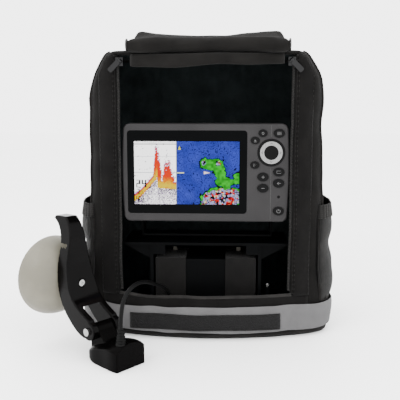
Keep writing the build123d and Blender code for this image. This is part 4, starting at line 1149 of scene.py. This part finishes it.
# the middle of each key, x and z
KEY_CENTRES = {"zoom_in": (.0835, .2387), "zoom_out": (.0835, .2224), "power": (.1064, .1891),
               "menu": (.1057, .3016), "page": (.1061, .2460), "exit": (.1061, .2297),
               "view": (.0826, .3016), "info": (.0716, .2914), "mark": (.0716, .2559)}


def stroke(key, offsets, *width):
    """A flat line on a key, through offsets in millimetres from its middle."""
    return flat_line([at_key(*KEY_CENTRES[key], dx, dz) for dx, dz in offsets], *width)


key_sign("sign_plus", "key_zoom_in", [stroke("zoom_in", [(-2.2, 0), (2.2, 0)]),
                                      stroke("zoom_in", [(0, -2.2), (0, 2.2)])])
key_sign("sign_minus", "key_zoom_out", [stroke("zoom_out", [(-2.4, 0), (2.4, 0)])])
key_sign("sign_power", "key_power", [circle_line(*KEY_CENTRES["power"], 2.6, 0.6, TAU - 0.6),
                                     stroke("power", [(0, 0.6), (0, 3.2)])])
key_sign("sign_bars", "key_menu", [stroke("menu", [(-3.2, dz), (3.2, dz)], 0.0004) for dz in (-1.7, 0, 1.7)])
page_outline = [(-3, -1.8), (3, -1.8), (3, 1.8), (-3, 1.8), (-3, -1.8)]
key_sign("sign_page", "key_page", [stroke("page", page_outline, 0.0004)])
key_sign("sign_back", "key_exit", [stroke("exit", [(0.2, 2), (-2.4, 0), (0.2, -2)], 0.0004),
                                   stroke("exit", [(-2.2, 0), (3, 0)], 0.0004)])
key_sign("sign_eye", "key_view", [circle_line(*KEY_CENTRES["view"], 1.5)])
key_sign("sign_dot", "key_info", [circle_line(*KEY_CENTRES["info"], 0.8),
                                  stroke("info", [(-2, -2), (2, -2)], 0.0004)])
key_sign("sign_flag", "key_mark", [stroke("mark", [(-1.6, -2), (-1.6, 2), (1.8, 1), (-1.4, 0)], 0.0004)])
arrows = []
for k in range(4):
    a = k * math.pi / 2
    rows = []
    for along, across in ((12.2, -1.5), (14.2, 0.0), (12.2, 1.5)):
        dx = along * math.sin(a) + across * math.cos(a)
        dz = along * math.cos(a) - across * math.sin(a)
        rows.append((0.0948 + dx * 0.001, -0.08102, 0.2740 + dz * 0.001))
    arrows.append(flat_line(rows, 0.0004))
finish_piece(new_object("pad_arrows", *join_shapes(arrows), seam_material), "pad", slot="pad_black")

# ---------------------------------------------------------------- transducer and stand


def softened(node, name, cell, passes, material, body, slot):
    """A copy of a CAD piece remeshed finely and smoothed, so that its edges are moulded and round."""
    source = cad[node]
    piece = bpy.data.objects.new(name, source.data.copy())
    bpy.context.scene.collection.objects.link(piece)
    mesh = bmesh.new()
    mesh.from_mesh(piece.data)
    bmesh.ops.remove_doubles(mesh, verts=mesh.verts, dist=0.00002)
    mesh.to_mesh(piece.data)
    mesh.free()
    voxel = cell * 1
    add_modifier(piece, "REMESH", mode="VOXEL", voxel_size=voxel, use_smooth_shade=True)
    add_modifier(piece, "SMOOTH", factor=0.5, iterations=max(2, passes // (1)))
    bake_modifiers(piece)
    piece.data.materials.clear()
    piece.data.materials.append(material)
    piece.data.polygons.foreach_set("use_smooth", [True] * len(piece.data.polygons))
    return finish_piece(piece, body, node, slot=slot)


softened("stand_bracket", "curved_bracket", 0.0009, 9, stand_gloss, "stand", "stand_plastic")
softened("transducer_body", "transducer_shell", 0.0008, 10, transducer_satin, "transducer",
         "transducer_plastic")
softened("suction_cup", "vinyl_cup", 0.0009, 4, cup_vinyl, "stand", "cup_rubber")
softened("battery", "battery_shell", 0.0012, 3, battery_plastic, "case", "battery_case")
softened("battery_straps", "loop_straps", 0.0007, 2, strap_loop, "case", "battery_strap")

STAND = Vector((-0.092, -0.209, 0.0))
TOWARDS = Vector((-0.773, 0.634, 0)).normalized()
SIDEWAYS = Vector((-TOWARDS.y, TOWARDS.x, 0))
boot_foot = STAND + TOWARDS * 0.009 + SIDEWAYS * 0.009 + Vector((0, 0, 0.030))
boot_tip = boot_foot + Vector((0, 0, 0.023))


def lathe_up(base_point, profile, sides=40):
    """A turned shape on a vertical line: profile is (radius, height) in metres."""
    vertices = []
    for radius, height in profile:
        for k in range(sides):
            a = TAU * k / sides
            vertices.append(base_point + Vector((radius * math.cos(a), radius * math.sin(a), height)))
    return vertices, closed_faces(len(profile), sides)


boot_profile = [(0.0070, -0.0010), (0.0072, 0.0040)]
for rib in range(5):
    z = 0.0050 + rib * 0.0035
    r = 0.0068 - rib * 0.0005
    boot_profile += [(r - 0.0011, z), (r - 0.0011, z + 0.0007), (r, z + 0.0012), (r, z + 0.0023),
                     (r - 0.0011, z + 0.0028)]
boot_profile += [(0.0041, 0.0226), (0.0034, 0.0230)]
boot = new_object("ribbed_boot", *lathe_up(boot_foot, boot_profile), cable_jacket)
finish_piece(boot, "transducer", "transducer_boot", slot="cable_jacket")

# ---------------------------------------------------------------- the sonar cable

CABLE = 0.0056
FLOOR_TOP = 0.0183
LANE = FLOOR_TOP + CABLE / 2 + 0.0007
route = [
    tuple(boot_tip),
    (boot_tip.x, boot_tip.y, 0.0790),
    (-0.0980, -0.1965, 0.1020),
    (-0.0830, -0.1640, 0.1070),
    (-0.0650, -0.1230, 0.0890),
    (-0.0560, -0.0980, 0.0760),
    (-0.0510, -0.0840, 0.0570),
    (-0.0590, -0.0790, 0.0350),
    (-0.0790, -0.0720, 0.0240),
    (-0.1020, -0.0540, LANE),
    (-0.1080, -0.0240, LANE),
    (-0.1050, 0.0120, LANE),
    (-0.0955, 0.0380, LANE),
]
coil_middle = Vector((-0.046, 0.057, 0))
per_turn = 14
columns, layers = 5, 5
start_angle = math.pi
for layer in range(layers):
    for step in range(columns):
        column = columns - 1 - step if layer % 2 == 0 else step
        for k in range(per_turn):
            progress = k / per_turn
            going_on = 1 if step < columns - 1 else 0
            shift = progress * going_on * (-1 if layer % 2 == 0 else 1)
            radius = 0.034 + (column + shift - (columns - 1) / 2) * CABLE
            rise = progress if step == columns - 1 and layer < layers - 1 else 0.0
            a = start_angle - TAU * progress
            height = FLOOR_TOP + CABLE * (layer + 0.5 + rise)
            widen = 1 / math.cos(math.pi / per_turn) ** 0.5
            route.append((coil_middle.x + radius * widen * math.cos(a),
                          coil_middle.y + radius * widen * math.sin(a),
                          height))
curve = bpy.data.curves.new("sonar_cable_curve", "CURVE")
curve.dimensions = "3D"
spline = curve.splines.new("NURBS")
spline.points.add(len(route) - 1)
for point, place in zip(spline.points, route):
    point.co = (*place, 1)
spline.order_u = 3
spline.use_endpoint_u = True
spline.resolution_u = 6
curve.bevel_depth = CABLE / 2
curve.bevel_resolution = 4
curve.use_fill_caps = True
curve.materials.append(cable_jacket)
cable = bpy.data.objects.new("sonar_lead", curve)
bpy.context.scene.collection.objects.link(cable)
finish_piece(cable, "transducer", "sonar_cable", "cable_coil", slot="cable_jacket")

# ---------------------------------------------------------------- camera, floor and lights


def look(location, pitch, yaw, lens):
    data = bpy.data.cameras.new("camera")
    data.lens = lens
    data.sensor_width = 36
    data.clip_start = 0.05
    camera = bpy.data.objects.new("camera", data)
    camera.location = location
    camera.rotation_euler = (math.radians(90 - pitch), 0, math.radians(yaw))
    bpy.context.scene.collection.objects.link(camera)
    bpy.context.scene.camera = camera


def area_light(name, location, target, size, power):
    data = bpy.data.lights.new(name, "AREA")
    data.energy = power
    data.size = size
    lamp = bpy.data.objects.new(name, data)
    lamp.location = location
    lamp.rotation_euler = (Vector(target) - Vector(location)).to_track_quat("-Z", "Y").to_euler()
    bpy.context.scene.collection.objects.link(lamp)


def build_stage():
    floor_material = Nodes("studio_floor", (0.93, 0.93, 0.93), 0.6)
    soft = floor_material.noise(3, 2)
    pale = floor_material.ramp(soft, [(0.3, (0.95, 0.95, 0.95)), (0.7, (0.97, 0.97, 0.97))])
    floor_material.colour(pale)
    size = 6.0
    floor = new_object("floor", [(-size, -size, 0), (size, -size, 0), (size, size, 0), (-size, size, 0)],
                       [(0, 1, 2, 3)], floor_material.material)
    world = bpy.data.worlds.new("studio")
    world.use_nodes = True
    world.node_tree.nodes["Background"].inputs["Color"].default_value = (1, 1, 1, 1)
    world.node_tree.nodes["Background"].inputs["Strength"].default_value = 4.6
    bpy.context.scene.world = world
    area_light("key", (-0.9, -1.3, 1.3), (0, 0, 0.2), 1.0, 26)
    area_light("fill", (1.2, -1.1, 0.8), (0, 0, 0.2), 0.8, 10)
    area_light("top", (0.0, 0.2, 1.5), (0, 0, 0.2), 1.2, 8)


look((0.0357, -1.0143, 0.3479), 8.7, 2.65, 58.5)
build_stage()
